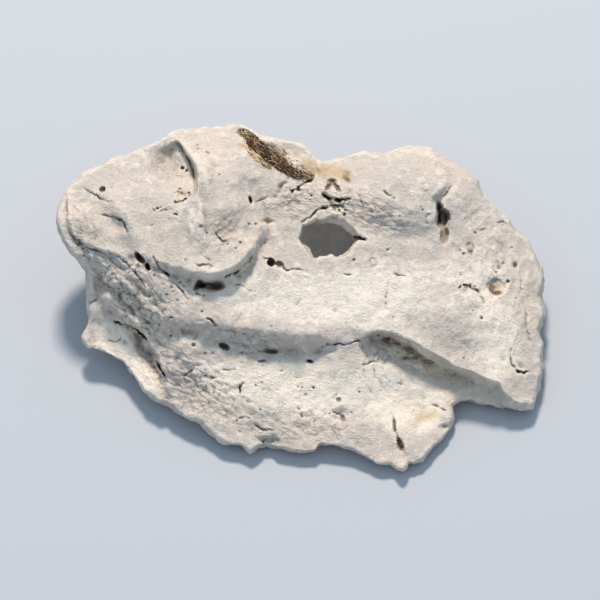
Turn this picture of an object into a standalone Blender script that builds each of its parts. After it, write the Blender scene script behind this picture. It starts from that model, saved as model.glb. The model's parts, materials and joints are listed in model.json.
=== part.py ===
"""A holey rock: one weathered lump of shore limestone with ledges, hollows and bored holes,
and the pad of dried roots caught in the groove along its back edge.

The rock lies on the flat worn patch under it.  Its broad face looks forward and up, and the
shape is written on that face: "across" runs to +X, "up" runs up the leaning face, and the
third number is the height above the ground, all in millimetres.
"""

import math

import bmesh
import bpy
import numpy as np

MM = 0.001
LEAN = math.radians(52)  # how far above level the broad face looks
DEPTH_SHIFT = 20.0  # puts the origin under the rock's middle
FACE_CENTRE = (0.0, 3.0)

# The edge of the broad face, clockwise from the tip of the head: (across, up, height).
OUTLINE = [
    (-81.7, 28.3, 33), (-80.6, 32.9, 34), (-77.6, 38.0, 36), (-71.7, 43.1, 38), (-60.0, 48.0, 39),
    (-47.3, 54.5, 40), (-33.0, 58.0, 40), (-19.3, 58.9, 39), (-13.3, 55.0, 37), (-2.0, 53.2, 37),
    (4.0, 49.2, 35), (7.3, 46.4, 34), (14.5, 48.2, 33), (22.3, 50.1, 33), (28.2, 48.6, 32),
    (36.5, 51.2, 31), (44.5, 50.8, 31), (51.3, 46.1, 29), (58.7, 40.9, 27), (63.0, 34.0, 25),
    (70.3, 27.9, 21), (76.6, 20.9, 17), (82.5, 8.0, 12), (81.0, 1.5, 11), (82.3, -5.0, 9),
    (80.7, -10.3, 8), (82.0, -15.7, 7), (81.0, -25.0, 5), (77.7, -36.7, 2), (73.5, -37.4, 3),
    (68.7, -36.7, 5), (64.5, -33.8, 7), (57.5, -33.0, 5), (51.0, -36.0, 2), (50.9, -40.8, 1.5),
    (47.8, -46.3, 1.2), (40.5, -53.5, 1.2), (36.4, -54.6, 1.5), (34.6, -57.0, 1.2),
    (32.2, -56.2, 1.2), (30.2, -54.0, 3.5), (25.3, -54.3, 4), (18.8, -50.2, 4), (7.0, -48.5, 3.5),
    (3.7, -51.3, 2), (-4.0, -50.3, 2), (-11.5, -48.1, 1.5), (-15.2, -50.0, 1), (-17.4, -50.9, 1),
    (-20.3, -48.2, 2), (-25.5, -47.2, 2.5), (-34.0, -40.8, 3.5), (-43.0, -36.5, 3.5),
    (-50.0, -32.0, 5), (-56.5, -23.0, 7), (-66.0, -17.2, 9), (-72.7, -14.1, 10.5),
    (-71.0, -5.0, 12), (-71.6, 10.0, 20), (-75.5, 14.5, 26), (-79.6, 21.5, 30),
]

# Heights of the broad forms, before ledges and hollows: (across, up, height).
HEIGHTS = [
    (-81, 28, 37), (-77, 40, 39), (-60, 49, 41), (-40, 57, 42), (-20, 59, 42), (-4, 54, 40),
    (7, 47, 36), (22, 51, 37), (44, 51, 37), (56, 43, 33), (66, 31, 27.5), (78, 19, 20.5), (83, 4, 15),
    (82, -17, 10.5), (78, -36, 6), (66, -35, 9), (52, -38, 6), (43, -50, 5), (33, -57, 4),
    (16, -50, 6), (-4, -51, 5.5), (-24, -48, 6), (-40, -39, 7.5), (-54, -29, 9.5), (-72, -14, 12),
    (-71, -2, 14), (-73, 12, 31), (-63, 24, 39), (-57, 37, 42), (-40, 40, 44), (-26, 43, 45),
    (-26, 27, 42.5), (-33, 15, 38), (-55, 16, 36), (-17, 20, 37), (-6, 18, 32), (-8, 29, 35),
    (-6, 40, 39), (10, 36, 37), (33, 40, 40), (24, 23, 33.5), (50, 36, 36), (44, 21, 31), (10, 9, 29),
    (33, 10, 29), (57, 10, 26), (70, 0, 20), (50, -7, 23.5), (68, -22, 14), (0, -3, 25), (-23, -3, 26),
    (-48, 0, 24.5), (-60, 4, 26), (-17, -28, 11.5), (10, -27, 13), (-33, -30, 11), (-52, -18, 11.5),
    (33, -42, 8), (28, -23, 14), (42, -29, 10), (-60, -11, 12.5), (-65, -6, 13.8), (-35, -14, 18.5),
    (-46, -12, 16), (-60, 13, 35), (-66, 6, 27), (-40, -27, 9.5), (-30, -21, 13.5), (17, -20, 17.5),
    (33, -24, 13), (-14, -20, 14.5), (2, -20, 15),
]

# Ledges run with their higher side on the left: points (across, up, drop), the width of the
# step, how far the ground above and below it takes to come back to the broad form, and the
# step's shape: 1 has a sharp foot, -1 a sharp brow.
LEDGES = {
    "under the head": ([
        (-54, 14, 1), (-44, 10.5, 4), (-36, 8, 6.5), (-30, 7, 8), (-23.5, 8.5, 8.5), (-19, 11.5, 8),
        (-15, 16.5, 7), (-12.5, 21, 5), (-12.5, 27, 3.5), (-16, 35, 1),
    ], 4.2, 9, 8, 0.3),
    "bench": ([
        (-57, 1, 0), (-52, -2.5, 3), (-46, -6, 5), (-41, -7.6, 6), (-36, -8.6, 7.5),
        (-31.7, -9.8, 9.5), (-26, -11.2, 11), (-20, -12.3, 12.5), (-14, -13, 13), (-8, -13.6, 13),
        (-1.7, -14.2, 12), (3.5, -14.2, 9), (8.3, -13.7, 5), (13, -13, 2.5), (17, -12.2, 1.5),
        (21, -11.4, 1),
    ], 9.0, 14, 9, 0.8),
    "left step": ([
        (-73, 4, 3), (-70, 1, 4.5), (-66.5, -2.2, 5), (-62.3, -5.6, 5), (-58, -8.2, 5),
        (-55, -10.3, 5), (-52, -13.5, 5), (-49.5, -18, 5), (-47, -22.5, 4.5), (-45, -27.5, 3.5),
        (-43, -33, 2), (-41, -38, 0),
    ], 2.8, 4, 5, 0.8),
    "scoop": ([
        (19, -15, 0), (20.8, -14.3, 3), (23.7, -12.4, 6.5), (27.2, -11.6, 9), (31.7, -12.4, 10.5),
        (35.5, -14.2, 11), (38.7, -16, 11), (42, -18.8, 10.5), (45.7, -20.5, 10), (50.5, -23.3, 9.5),
        (56.9, -25.5, 8.5), (61.8, -27.4, 7.5), (65.5, -29.6, 6.5), (68, -33.3, 4.5), (71, -34.8, 3),
        (76, -36, 1),
    ], 3.4, 8, 12, -0.8),
    "lip of the head": ([
        (-79, 36, 0), (-78.2, 31, 2), (-77, 24, 2.5), (-74.8, 20.5, 2.5), (-71.3, 18.7, 2.5),
        (-67, 16.7, 2), (-60, 14, 1),
    ], 1.0, 5, 4, 0),
    "crescent": ([
        (-42, 54, 0), (-40.5, 52, 3), (-37.5, 48.5, 5), (-35.4, 45, 6.5), (-34.7, 41.5, 7),
        (-35, 37.5, 6), (-35.8, 34.5, 3.5), (-37, 32, 0),
    ], 1.3, 6, 9, 0),
    "back slope": ([
        (-9, 32, 0), (-3, 32, 2), (4, 32.5, 3), (11, 31.5, 4), (19, 30, 4.5), (28, 27.5, 4.5),
        (37, 25, 4), (44, 23.5, 2.5), (52, 24, 0),
    ], 13.0, 11, 9, 0),
    "cheek of the head": ([
        (-73, 37, 1), (-68, 34, 3), (-63, 30.5, 4), (-60, 26, 4.5), (-57.5, 20.5, 4), (-55.7, 16, 2),
    ], 6.0, 10, 9, -0.5),
    "brow over the pocket": ([
        (7.5, 35.5, 0), (9, 34.5, 2), (11.5, 33, 3), (14, 32.6, 2.6), (17, 33.2, 0.5),
    ], 0.8, 4, 4, 0),
}

# Grooves: points (across, up, depth) and the width.
GROOVES = {
    "root groove": ([
        (-20, 57, 4), (-17, 54.5, 6), (-13, 51, 7), (-8, 47, 7), (-4, 43.5, 5.5), (0, 42, 3.5),
        (5, 41.5, 2.5), (9, 41, 1),
    ], 5.5),
    "above the slot": ([
        (46.5, 33, 3), (49, 36.5, 2.5), (52.5, 41.5, 1.5), (55, 44, 0),
    ], 3.0),
    "side of the head": ([
        (-17.7, 36.7, 1.5), (-15, 28.3, 2.5), (-12.7, 20, 2),
    ], 6.0),
    "left slope": ([
        (-66, 16, 0.5), (-60, 10, 1.2), (-52, 2, 1.2), (-46, -4, 0.5),
    ], 2.0),
    "left slope, lower": ([
        (-66, 6, 0.3), (-58, -1, 1.2), (-50, -8, 0.8),
    ], 2.2),
}

# Hollows, and lumps where the depth is below zero:
# (across, up, half width, half height, turn in degrees, depth).
HOLLOWS = [
    (-43.0, 43.2, 9.0, 12, 6, 7.5), (-47, 47, 9.5, 7.5, 20, 3), (-23.5, 23, 13, 10.5, 0, 3),
    (-11.3, 26.3, 4, 1.8, 0, 2), (-67.5, 6, 5, 8, 0, 3), (35, -34, 17, 12, -10, 1.5),
    (60, -36, 11, 8, -5, 4.5), (13.3, -38, 5, 3.5, 0, 2), (-10.7, -47, 5, 2.5, -8, 2.5),
    (73.3, -22, 3.5, 2, -25, 1.0), (56, 3.5, 3, 2, 0, 1), (48, -42.3, 3, 1.5, 20, 1.5),
    (-61.7, 26, 5, 4, -30, -1.5), (-31.7, 43, 4, 12, 10, -2), (-1, 50.7, 8, 5, -15, -2.5),
    (33.7, -55.5, 3.5, 3.5, 0, -1.5),
]

# Holes bored along the line of sight down onto the face, with steep walls:
# (across, up, half width, half height, turn in degrees, depth).
HOLES = [
    (-66, 37, 1.2, 1.2, 0, 3), (-52.8, 12.8, 4.1, 1.9, -47, 8), (-44.3, 8.7, 1.8, 1.3, -40, 5),
    (-30.5, 4.3, 5.3, 2.4, 0, 9), (-9.2, 12.2, 1.9, 2.0, 0, 7), (47.4, 28.0, 2.4, 4.8, -6, 10),
    (48.2, 21.7, 2.0, 3.0, 0, 4), (57.3, 17, 1.8, 2.2, 0, 2), (72, 11.7, 1.2, 1.5, 0, 2),
    (65.8, 4.5, 3.1, 2.5, 0, 2.8), (-53.2, -11.3, 2.4, 1.6, -25, 5), (-25, -15.3, 2.8, 1.7, -20, 5),
    (-10.2, -17.3, 3.2, 1.3, -10, 4), (3.3, -20.5, 2.0, 1.2, -20, 3), (-46.3, -22, 1.2, 2.6, 20, 4),
    (-35.5, -14.9, 1.2, 1.2, 0, 1.5), (35.2, -19.7, 2.0, 1.2, 0, 2.5), (33.7, -48.3, 1.9, 2.5, 0, 1.5),
    (12.9, -33, 1.1, 1.3, 0, 2),
]
HOLE_WALL = 0.7  # width of a hole's wall, seen along its depth

# The rim of the open pocket, and the hollow behind it.
POCKET_RIM = [
    (-0.4, 20.7), (1.3, 24.8), (5.2, 27.0), (8.8, 27.8), (12.7, 28.4), (16.0, 25.7), (19.0, 22.0),
    (21.5, 20.1), (18.5, 19.0), (16.6, 16.2), (13.2, 14.0), (10.2, 14.8), (4.7, 13.7),
    (1.9, 17.3),
]
POCKET_CENTRE = (10.0, 20.5, 20.0)  # across, up, height
POCKET_RADII = (13.0, 10.0, 8.5)  # along X, Y and Z
MOUTH_TOP, MOUTH_BOTTOM = 60.0, 17.0  # heights that the rim's cut runs between

# The underside: half width and half depth of the worn patch that the rock rests on.
PATCH = (46.0, 34.0)
PATCH_SAG = 1.2  # how far the rough underside bulges before the patch is worn flat
BULGE = 0.2  # how far the back overhangs its own top edge, as a part of its height
SPREAD = 0.35  # how soon the sides draw in to the patch's outline
SWELL = 2.5  # depth of the slow waves round the sides
SWELL_WAVES = (5.0, 9.0)  # how many go round
SWELL_START, SWELL_TWIST = 1.0, 5.0  # where the few start, and how the many turn on the way down
SWELL_FADE = 20.0  # they fade out below this height
ROLL = 0.35  # how far in the edge's rounding starts, as a part of its drop
LEAST_DROP = 0.5  # but it is rounded by at least this

RINGS = 90  # rings of points between the middle of the face and its edge
SPOKES = 360
HOLLOW_MESH = (48, 32)  # spokes and rings of the pocket's hollow
ROOT_MESH = (40, 12)
GRAIN = 1.15  # size of the cells that the surface is made again in
WEATHERING = [(14.0, 2.2), (5.0, 0.6)]  # size and depth of the worn lumps all over
FACES_KEPT = 0.111  # of the faces left by the grain
GROUND = (400.0, 400.0, 20.0)  # the block that wears the underside flat

# The root pad: its middle line up the groove (across, up, half width).
ROOT_LINE = [(-19.3, 56.0, 1.0), (-17.5, 54.5, 2.0), (-14.0, 51.3, 2.6), (-9.8, 47.8, 2.6),
             (-6.0, 44.6, 2.1), (-2.2, 42.4, 1.7), (1.5, 41.6, 1.0), (3.5, 41.3, 0.4)]
ROOT_THICKNESS = 2.2
ROOT_TIP = 0.05  # keeps the pad's ends from spreading
ROOT_GAP = 0.4  # kept clear between the roots and the stone

STONE = (0.62, 0.57, 0.50, 1.0)
ROOTS = (0.10, 0.055, 0.025, 1.0)


def clear_scene():
    for item in list(bpy.data.objects):
        bpy.data.objects.remove(item)


def new_collection(name):
    collection = bpy.data.collections.new(name)
    bpy.context.scene.collection.children.link(collection)
    return collection


def principled(name, colour, roughness):
    material = bpy.data.materials.new(name)
    material.use_nodes = True
    shader = material.node_tree.nodes["Principled BSDF"]
    shader.inputs["Base Color"].default_value = colour
    shader.inputs["Roughness"].default_value = roughness
    shader.inputs["Metallic"].default_value = 0.0
    return material


def ease(t):
    """0 to 1 with level ends."""
    t = np.clip(t, 0.0, 1.0)
    return t * t * (3.0 - 2.0 * t)


def step_up(t, shape):
    """0 to 1, bent towards a sharp foot or a sharp brow."""
    t = np.clip(t, 0.0, 1.0)
    sharp = np.sin(0.5 * math.pi * t) if shape > 0 else 1.0 - np.cos(0.5 * math.pi * t)
    return ease(t) + abs(shape) * (sharp - ease(t))


def spline_heights(across, up):
    """The smooth sheet, bent as little as it can be, through every point of HEIGHTS."""
    points = np.array(HEIGHTS, dtype=float)

    def bend(distance_squared):
        return distance_squared * np.log(distance_squared + 1e-9)

    count = len(points)
    between = ((points[:, None, :2] - points[None, :, :2]) ** 2).sum(axis=2)
    system = np.zeros((count + 3, count + 3))
    system[:count, :count] = bend(between)
    system[:count, count] = system[count, :count] = 1.0
    system[:count, count + 1:] = points[:, :2]
    system[count + 1:, :count] = points[:, :2].T
    weights = np.linalg.solve(system, np.append(points[:, 2], np.zeros(3)))
    height = weights[count] + weights[count + 1] * across + weights[count + 2] * up
    for (x, y, _), weight in zip(points, weights):
        height = height + weight * bend((across - x) ** 2 + (up - y) ** 2)
    return height


def along_line(across, up, line):
    """Distance to a line of points, plus on its left and minus on its right, and the third
    number of the line at the nearest place."""
    nearest = np.full(across.shape, 1e9)
    side = np.ones(across.shape)
    value = np.zeros(across.shape)
    for (x0, y0, v0), (x1, y1, v1) in zip(line, line[1:]):
        run_x, run_y = x1 - x0, y1 - y0
        t = ((across - x0) * run_x + (up - y0) * run_y) / (run_x ** 2 + run_y ** 2)
        t = np.clip(t, 0.0, 1.0)
        off_x, off_y = across - x0 - t * run_x, up - y0 - t * run_y
        distance = np.hypot(off_x, off_y)
        closer = distance < nearest
        nearest = np.where(closer, distance, nearest)
        side = np.where(closer, np.sign(run_x * off_y - run_y * off_x), side)
        value = np.where(closer, v0 + t * (v1 - v0), value)
    return nearest * side, value


def in_ellipse(across, up, spot):
    """0 at the middle of a turned ellipse, 1 on its edge."""
    x, y, half_width, half_height, turn, _ = spot
    angle = math.radians(turn)
    along = (across - x) * math.cos(angle) + (up - y) * math.sin(angle)
    off = (up - y) * math.cos(angle) - (across - x) * math.sin(angle)
    return np.hypot(along / half_width, off / half_height)


def face_height(across, up):
    """Height of the broad face: the smooth sheet, then its ledges, grooves, hollows and holes."""
    height = spline_heights(across, up)
    for line, width, above, below, shape in LEDGES.values():
        distance, drop = along_line(across, up, line)
        step = step_up(0.5 + distance / width, shape)
        slope = ease((distance + below) / (above + below))
        height = height + drop * (step - slope)
    for line, width in GROOVES.values():
        distance, depth = along_line(across, up, line)
        height = height - depth * (1.0 - ease(np.abs(distance) / width))
    for spot in HOLLOWS:
        height = height - spot[5] * (1.0 - ease(in_ellipse(across, up, spot)))
    for spot in HOLES:
        inside = (1.0 - in_ellipse(across, up, spot)) * min(spot[2], spot[3]) / HOLE_WALL
        height = height - spot[5] * ease(inside)
    return height


def place(across, up, height):
    """World X, Y and Z, in millimetres, of a point of the leaning face."""
    depth = up / math.sin(LEAN) - height / math.tan(LEAN) + DEPTH_SHIFT
    return across, depth, height


def outline_at(angle):
    """The edge of the face at each angle about its centre: reach, and height."""
    points = np.array(OUTLINE)
    off_x, off_y = points[:, 0] - FACE_CENTRE[0], points[:, 1] - FACE_CENTRE[1]
    angles = np.arctan2(off_y, off_x)
    order = np.argsort(angles)
    reach = np.interp(angle, angles[order], np.hypot(off_x, off_y)[order], period=2 * math.pi)
    height = np.interp(angle, angles[order], points[order, 2], period=2 * math.pi)
    return reach, height


def rock_points(angle, polar):
    """World position for a direction: polar 0 is the middle of the face, 1 its edge, and 2
    the middle of the underside."""
    reach, edge_height = outline_at(angle)
    out = np.minimum(polar, 1.0)
    across = FACE_CENTRE[0] + np.cos(angle) * reach * out
    up = FACE_CENTRE[1] + np.sin(angle) * reach * out
    height = face_height(across, up)

    # The last stretch of the face rolls over, like a quarter circle, to the edge's height.
    drop = np.maximum(height - edge_height, LEAST_DROP)
    roll = np.clip(1.0 - (1.0 - out) * reach / (ROLL * drop), 0.0, 1.0)
    height = height - drop * (1.0 - np.sqrt(1.0 - roll ** 2))
    x, y, z = place(across, up, height)

    # Below the edge: a curve that leaves along the line of sight and ends level at the patch,
    # whose own edge is an ellipse.
    turn = np.arctan2(y / PATCH[1], x / PATCH[0])
    patch_x, patch_y = PATCH[0] * np.cos(turn), PATCH[1] * np.sin(turn)
    t = np.clip((polar - 1.0) / 0.5, 0.0, 1.0)
    pull = BULGE * z
    ends = (1.0 - t) ** 3, 3.0 * t * (1.0 - t) ** 2, 3.0 * t ** 2 * (1.0 - t), t ** 3
    near_x, near_y = x + SPREAD * (patch_x - x), y + SPREAD * (patch_y - y)
    side_x = (ends[0] + ends[1]) * x + ends[2] * near_x + ends[3] * patch_x
    side_y = ends[0] * y + ends[1] * (y + pull / math.tan(LEAN)) + ends[2] * near_y + ends[3] * patch_y
    side_z = ends[0] * z + ends[1] * (z - pull) - ends[3] * PATCH_SAG

    few, many = SWELL_WAVES
    waves = np.sin(few * angle + SWELL_START) + np.sin(many * angle + SWELL_TWIST * t) - 1.0
    wave = SWELL * np.sin(math.pi * t) ** 2 * ease(z / SWELL_FADE) * waves
    side_x = side_x + wave * np.cos(turn)
    side_y = side_y + wave * np.sin(turn)

    inward = np.clip((polar - 1.5) / 0.5, 0.0, 1.0)
    below = polar > 1.0
    x = np.where(below, side_x * (1.0 - inward), x)
    y = np.where(below, side_y * (1.0 - inward), y)
    z = np.where(below, side_z - 0.5 * PATCH_SAG * ease(inward), z)
    return np.stack([x, y, z], axis=1)


def sphere_mesh(name, spokes, rings):
    mesh = bpy.data.meshes.new(name)
    ball = bmesh.new()
    bmesh.ops.create_uvsphere(ball, u_segments=spokes, v_segments=rings, radius=1.0)
    ball.to_mesh(mesh)
    ball.free()
    return mesh


def points_of(mesh):
    points = np.empty(len(mesh.vertices) * 3)
    mesh.vertices.foreach_get("co", points)
    return points.reshape(-1, 3)


def set_points(mesh, points):
    mesh.vertices.foreach_set("co", points.ravel())
    mesh.update()


def add_object(name, mesh, collection, material=None):
    item = bpy.data.objects.new(name, mesh)
    collection.objects.link(item)
    if material:
        mesh.materials.append(material)
    return item


def cutter(name, mesh, collection):
    item = add_object(name, mesh, collection)
    item.hide_render = True
    item.display_type = "WIRE"
    return item


def weather(item, size, depth):
    """Worn lumps of one size, in and out by half the depth."""
    texture = bpy.data.textures.new("lumps", "CLOUDS")
    texture.noise_scale = size * MM
    texture.noise_depth = 1
    lumps = item.modifiers.new("lumps", "DISPLACE")
    lumps.texture = texture
    lumps.texture_coords = "LOCAL"
    lumps.strength = depth * MM
    lumps.mid_level = 0.5


def cut(item, tool):
    boolean = item.modifiers.new(tool.name, "BOOLEAN")
    boolean.operation = "DIFFERENCE"
    boolean.solver = "EXACT"
    boolean.object = tool


def pocket_hollow(collection):
    """The egg-shaped hollow behind the pocket's rim."""
    mesh = sphere_mesh("pocket_hollow", *HOLLOW_MESH)
    centre = np.array(place(*POCKET_CENTRE))
    set_points(mesh, (points_of(mesh) * POCKET_RADII + centre) * MM)
    return cutter("pocket_hollow", mesh, collection)


def pocket_mouth(collection):
    """The pocket's rim carried down the line of sight into the hollow."""
    mesh = bpy.data.meshes.new("pocket_mouth")
    body = bmesh.new()
    top = [body.verts.new([v * MM for v in place(a, b, MOUTH_TOP)]) for a, b in POCKET_RIM]
    face = body.faces.new(reversed(top))
    sunk = bmesh.ops.extrude_face_region(body, geom=[face])
    lower = [v for v in sunk["geom"] if isinstance(v, bmesh.types.BMVert)]
    fall = MOUTH_TOP - MOUTH_BOTTOM
    shift = (0.0, fall / math.tan(LEAN) * MM, -fall * MM)
    bmesh.ops.translate(body, verts=lower, vec=shift)
    bmesh.ops.recalc_face_normals(body, faces=body.faces)
    body.to_mesh(mesh)
    body.free()
    return cutter("pocket_mouth", mesh, collection)


def ground(collection):
    """All below the worn patch."""
    mesh = bpy.data.meshes.new("ground")
    block = bmesh.new()
    bmesh.ops.create_cube(block, size=1.0)
    bmesh.ops.scale(block, vec=[v * MM for v in GROUND], verts=block.verts)
    bmesh.ops.translate(block, vec=(0.0, 0.0, -0.5 * GROUND[2] * MM), verts=block.verts)
    block.to_mesh(mesh)
    block.free()
    return cutter("ground", mesh, collection)


def make_rock(parts, tools):
    mesh = sphere_mesh("rock", SPOKES, 2 * RINGS)
    directions = points_of(mesh)
    angle = np.arctan2(directions[:, 1], directions[:, 0])
    polar = np.arccos(np.clip(directions[:, 2], -1.0, 1.0)) * 2.0 / math.pi
    set_points(mesh, rock_points(angle, polar) * MM)
    rock = add_object("rock", mesh, parts, principled("stone", STONE, 0.9))
    cut(rock, pocket_mouth(tools))
    cut(rock, pocket_hollow(tools))
    remesh = rock.modifiers.new("grain", "REMESH")
    remesh.mode = "VOXEL"
    remesh.voxel_size = GRAIN * MM
    for size, depth in WEATHERING:
        weather(rock, size, depth)
    fewer = rock.modifiers.new("fewer faces", "DECIMATE")
    fewer.ratio = FACES_KEPT
    cut(rock, ground(tools))
    cut(rock, cutter("root_room", root_mesh("root_room", ROOT_GAP), tools))


def root_mesh(name, grown):
    """The roots' pad: a flat lens laid along its line, its edge thin and its top round."""
    mesh = sphere_mesh(name, *ROOT_MESH)
    unit = points_of(mesh)
    line = np.array(ROOT_LINE)
    run = np.append(0.0, np.cumsum(np.hypot(*np.diff(line[:, :2], axis=0).T)))
    stretch = 1.0 + 2.0 * grown / run[-1]
    s = (0.5 + 0.5 * stretch * unit[:, 0]) * run[-1]
    middle_a, middle_b, half = (np.interp(s, run, column) for column in line.T)
    ends = line[-1, :2] - line[0, :2]
    aside = np.array([-ends[1], ends[0]]) / np.hypot(*ends)
    off = unit[:, 1] * (half + grown) / np.sqrt(np.maximum(1.0 - unit[:, 0] ** 2, ROOT_TIP))
    across, up = middle_a + aside[0] * off, middle_b + aside[1] * off
    lens = 0.5 * ROOT_THICKNESS * (1.0 + unit[:, 2]) + grown * unit[:, 2]
    set_points(mesh, np.stack(place(across, up, face_height(across, up) + lens), axis=1) * MM)
    return mesh


def make_roots(parts):
    add_object("dried_roots", root_mesh("dried_roots", 0.0), parts, principled("roots", ROOTS, 0.95))


def main():
    clear_scene()
    parts = new_collection("holey_rock")
    tools = new_collection("cutters")
    make_rock(parts, tools)
    make_roots(parts)


main()
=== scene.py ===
# A weathered, holey lump of shore limestone with dried roots caught in its back groove.
# Distances are millimetres until a mesh is made. The leaning face is written as
# (across, up, height): across is X, up runs up the face as seen along the line of sight,
# and height is above the ground.
import json
import math

import bpy
import numpy as np
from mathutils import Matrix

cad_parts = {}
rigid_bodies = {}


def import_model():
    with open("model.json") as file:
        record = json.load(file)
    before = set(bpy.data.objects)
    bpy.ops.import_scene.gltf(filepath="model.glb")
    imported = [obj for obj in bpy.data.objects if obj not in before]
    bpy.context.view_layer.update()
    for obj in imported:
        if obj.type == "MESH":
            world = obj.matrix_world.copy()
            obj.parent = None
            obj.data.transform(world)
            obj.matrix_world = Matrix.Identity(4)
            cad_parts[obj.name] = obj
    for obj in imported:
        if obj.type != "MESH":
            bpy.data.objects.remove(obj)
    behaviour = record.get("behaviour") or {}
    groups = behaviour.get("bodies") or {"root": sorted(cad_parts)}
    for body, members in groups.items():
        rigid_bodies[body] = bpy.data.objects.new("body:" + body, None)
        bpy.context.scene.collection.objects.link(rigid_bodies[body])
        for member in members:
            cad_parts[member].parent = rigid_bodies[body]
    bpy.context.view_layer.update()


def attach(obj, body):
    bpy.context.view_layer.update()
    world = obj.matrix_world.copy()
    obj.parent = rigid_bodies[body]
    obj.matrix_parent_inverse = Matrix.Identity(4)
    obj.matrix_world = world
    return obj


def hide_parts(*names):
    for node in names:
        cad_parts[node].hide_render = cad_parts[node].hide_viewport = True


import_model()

mm = 0.001
lean = math.radians(52)      # how far the line of sight looks down
depthShift = 20.0            # brings the middle of the rock over the origin
tableSize = 4096             # random values in a noise, a power of two
strides = (73856093, 19349663, 83492791)     # large odd numbers that pick one for a cell
scallopMean = 0.42           # mean depth of the bowls that scallops makes


def ease(t):
    # 0 to 1 with level ends: 3t^2 - 2t^3
    t = np.clip(t, 0.0, 1.0)
    return t * t * (3.0 - 2.0 * t)


def stepUp(t, shape):
    # 0 to 1, leaning to a quarter sine for a sharp foot or a quarter cosine for a sharp brow
    t = np.clip(t, 0.0, 1.0)
    sharp = np.sin(0.5 * math.pi * t) if shape > 0 else 1.0 - np.cos(0.5 * math.pi * t)
    return ease(t) + abs(shape) * (sharp - ease(t))


def cosSin(degrees):
    angle = math.radians(degrees)
    return math.cos(angle), math.sin(angle)


def sheetThrough(controls, across, up):
    # thin bent sheet through control points: a plane plus a weighted r^2 log r from each
    p = np.array(controls, dtype=float)
    n = len(p)
    gap = ((p[:, None, :2] - p[None, :, :2]) ** 2).sum(axis=2)
    system = np.zeros((n + 3, n + 3))
    system[:n, :n] = gap * np.log(gap + 1e-9)
    system[:n, n] = system[n, :n] = 1.0
    system[:n, n + 1:] = p[:, :2]
    system[n + 1:, :n] = p[:, :2].T
    weights = np.linalg.solve(system, np.append(p[:, 2], np.zeros(3)))
    value = weights[n] + weights[n + 1] * across + weights[n + 2] * up
    for (x, y, _), weight in zip(p, weights):
        square = (across - x) ** 2 + (up - y) ** 2
        value = value + weight * square * np.log(square + 1e-9)
    return value


def alongLine(line, across, up):
    # distance to a line of points, plus on its left, and the line's third number there
    nearest = np.full(across.shape, 1e9)
    side = np.ones(across.shape)
    value = np.zeros(across.shape)
    for (x0, y0, v0), (x1, y1, v1) in zip(line, line[1:]):
        runX, runY = x1 - x0, y1 - y0
        t = np.clip(((across - x0) * runX + (up - y0) * runY) / (runX ** 2 + runY ** 2), 0.0, 1.0)
        offX, offY = across - x0 - t * runX, up - y0 - t * runY
        distance = np.hypot(offX, offY)
        closer = distance < nearest
        nearest = np.where(closer, distance, nearest)
        side = np.where(closer, np.sign(runX * offY - runY * offX), side)
        value = np.where(closer, v0 + t * (v1 - v0), value)
    return nearest * side, value


def insideLoop(loop, across, up):
    # 1 inside a closed outline and 0 outside: it crosses an odd number of edges on its right
    inside = np.zeros(across.shape, dtype=bool)
    for (x0, y0), (x1, y1) in zip(loop, loop[1:] + loop[:1]):
        if y0 != y1:
            crosses = (up > min(y0, y1)) & (up <= max(y0, y1))
            inside ^= crosses & (across < x0 + (up - y0) * (x1 - x0) / (y1 - y0))
    return inside


def inEllipse(spot, across, up):
    # 0 at the middle of a turned ellipse and 1 on its edge
    x, y, halfWidth, halfHeight, turn = spot[:5]
    cos, sin = cosSin(turn)
    along = (across - x) * cos + (up - y) * sin
    off = (up - y) * cos - (across - x) * sin
    return np.hypot(along / halfWidth, off / halfHeight)


def waveNoise(points, size, seed):
    # smooth random waves: each lattice corner has its own slope, faded into its neighbours'
    slopes = np.random.default_rng(seed).normal(size=(tableSize, 3)).astype(np.float32)
    slopes /= np.linalg.norm(slopes, axis=1)[:, None]
    scaled = (points / size).astype(np.float32)
    cell = np.floor(scaled).astype(np.int64)
    part = scaled - cell
    fade = part ** 3 * (part * (part * 6.0 - 15.0) + 10.0)
    total = np.zeros(len(points), dtype=np.float32)
    for corner in np.ndindex(2, 2, 2):
        at = cell + corner
        a, b, c = (at * strides).T
        pick = (a ^ b ^ c) & (tableSize - 1)
        weight = np.prod(np.where(np.array(corner, dtype=bool), fade, 1.0 - fade), axis=1)
        total += weight * ((part - np.array(corner)) * slopes[pick]).sum(axis=1)
    return 1.6 * total


def scallops(cells, seed):
    # bowls: a point in each lattice cell has a depth of its own, and the least of squared
    # distance plus depth counts, so bowls meet in sharp crests; the mean is taken off
    random = np.random.default_rng(seed)
    size = cells.shape[1]
    spots, depths = random.uniform(0.1, 0.9, (tableSize, size)), random.uniform(0.0, 0.45, tableSize)
    cell = np.floor(cells).astype(np.int64)
    part = cells - cell
    least = np.full(len(cells), 9.0)
    for step in np.ndindex((3,) * size):
        at = cell + step - 1
        pick = (at * strides[:size]).sum(axis=1) & (tableSize - 1)
        away = ((spots[pick] + step - 1 - part) ** 2).sum(axis=1) + depths[pick]
        least = np.minimum(least, away)
    return least - scallopMean


def ragged(across, up, reach, size, seed):
    # nudges places to and fro by smooth waves, so that what is drawn there wanders
    flat = np.stack([across.ravel(), up.ravel(), np.full(across.size, 0.5 * size)], axis=1)
    return (across + reach * waveNoise(flat, size, seed).reshape(across.shape),
            up + reach * waveNoise(flat, size, seed + 1).reshape(across.shape))


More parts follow.
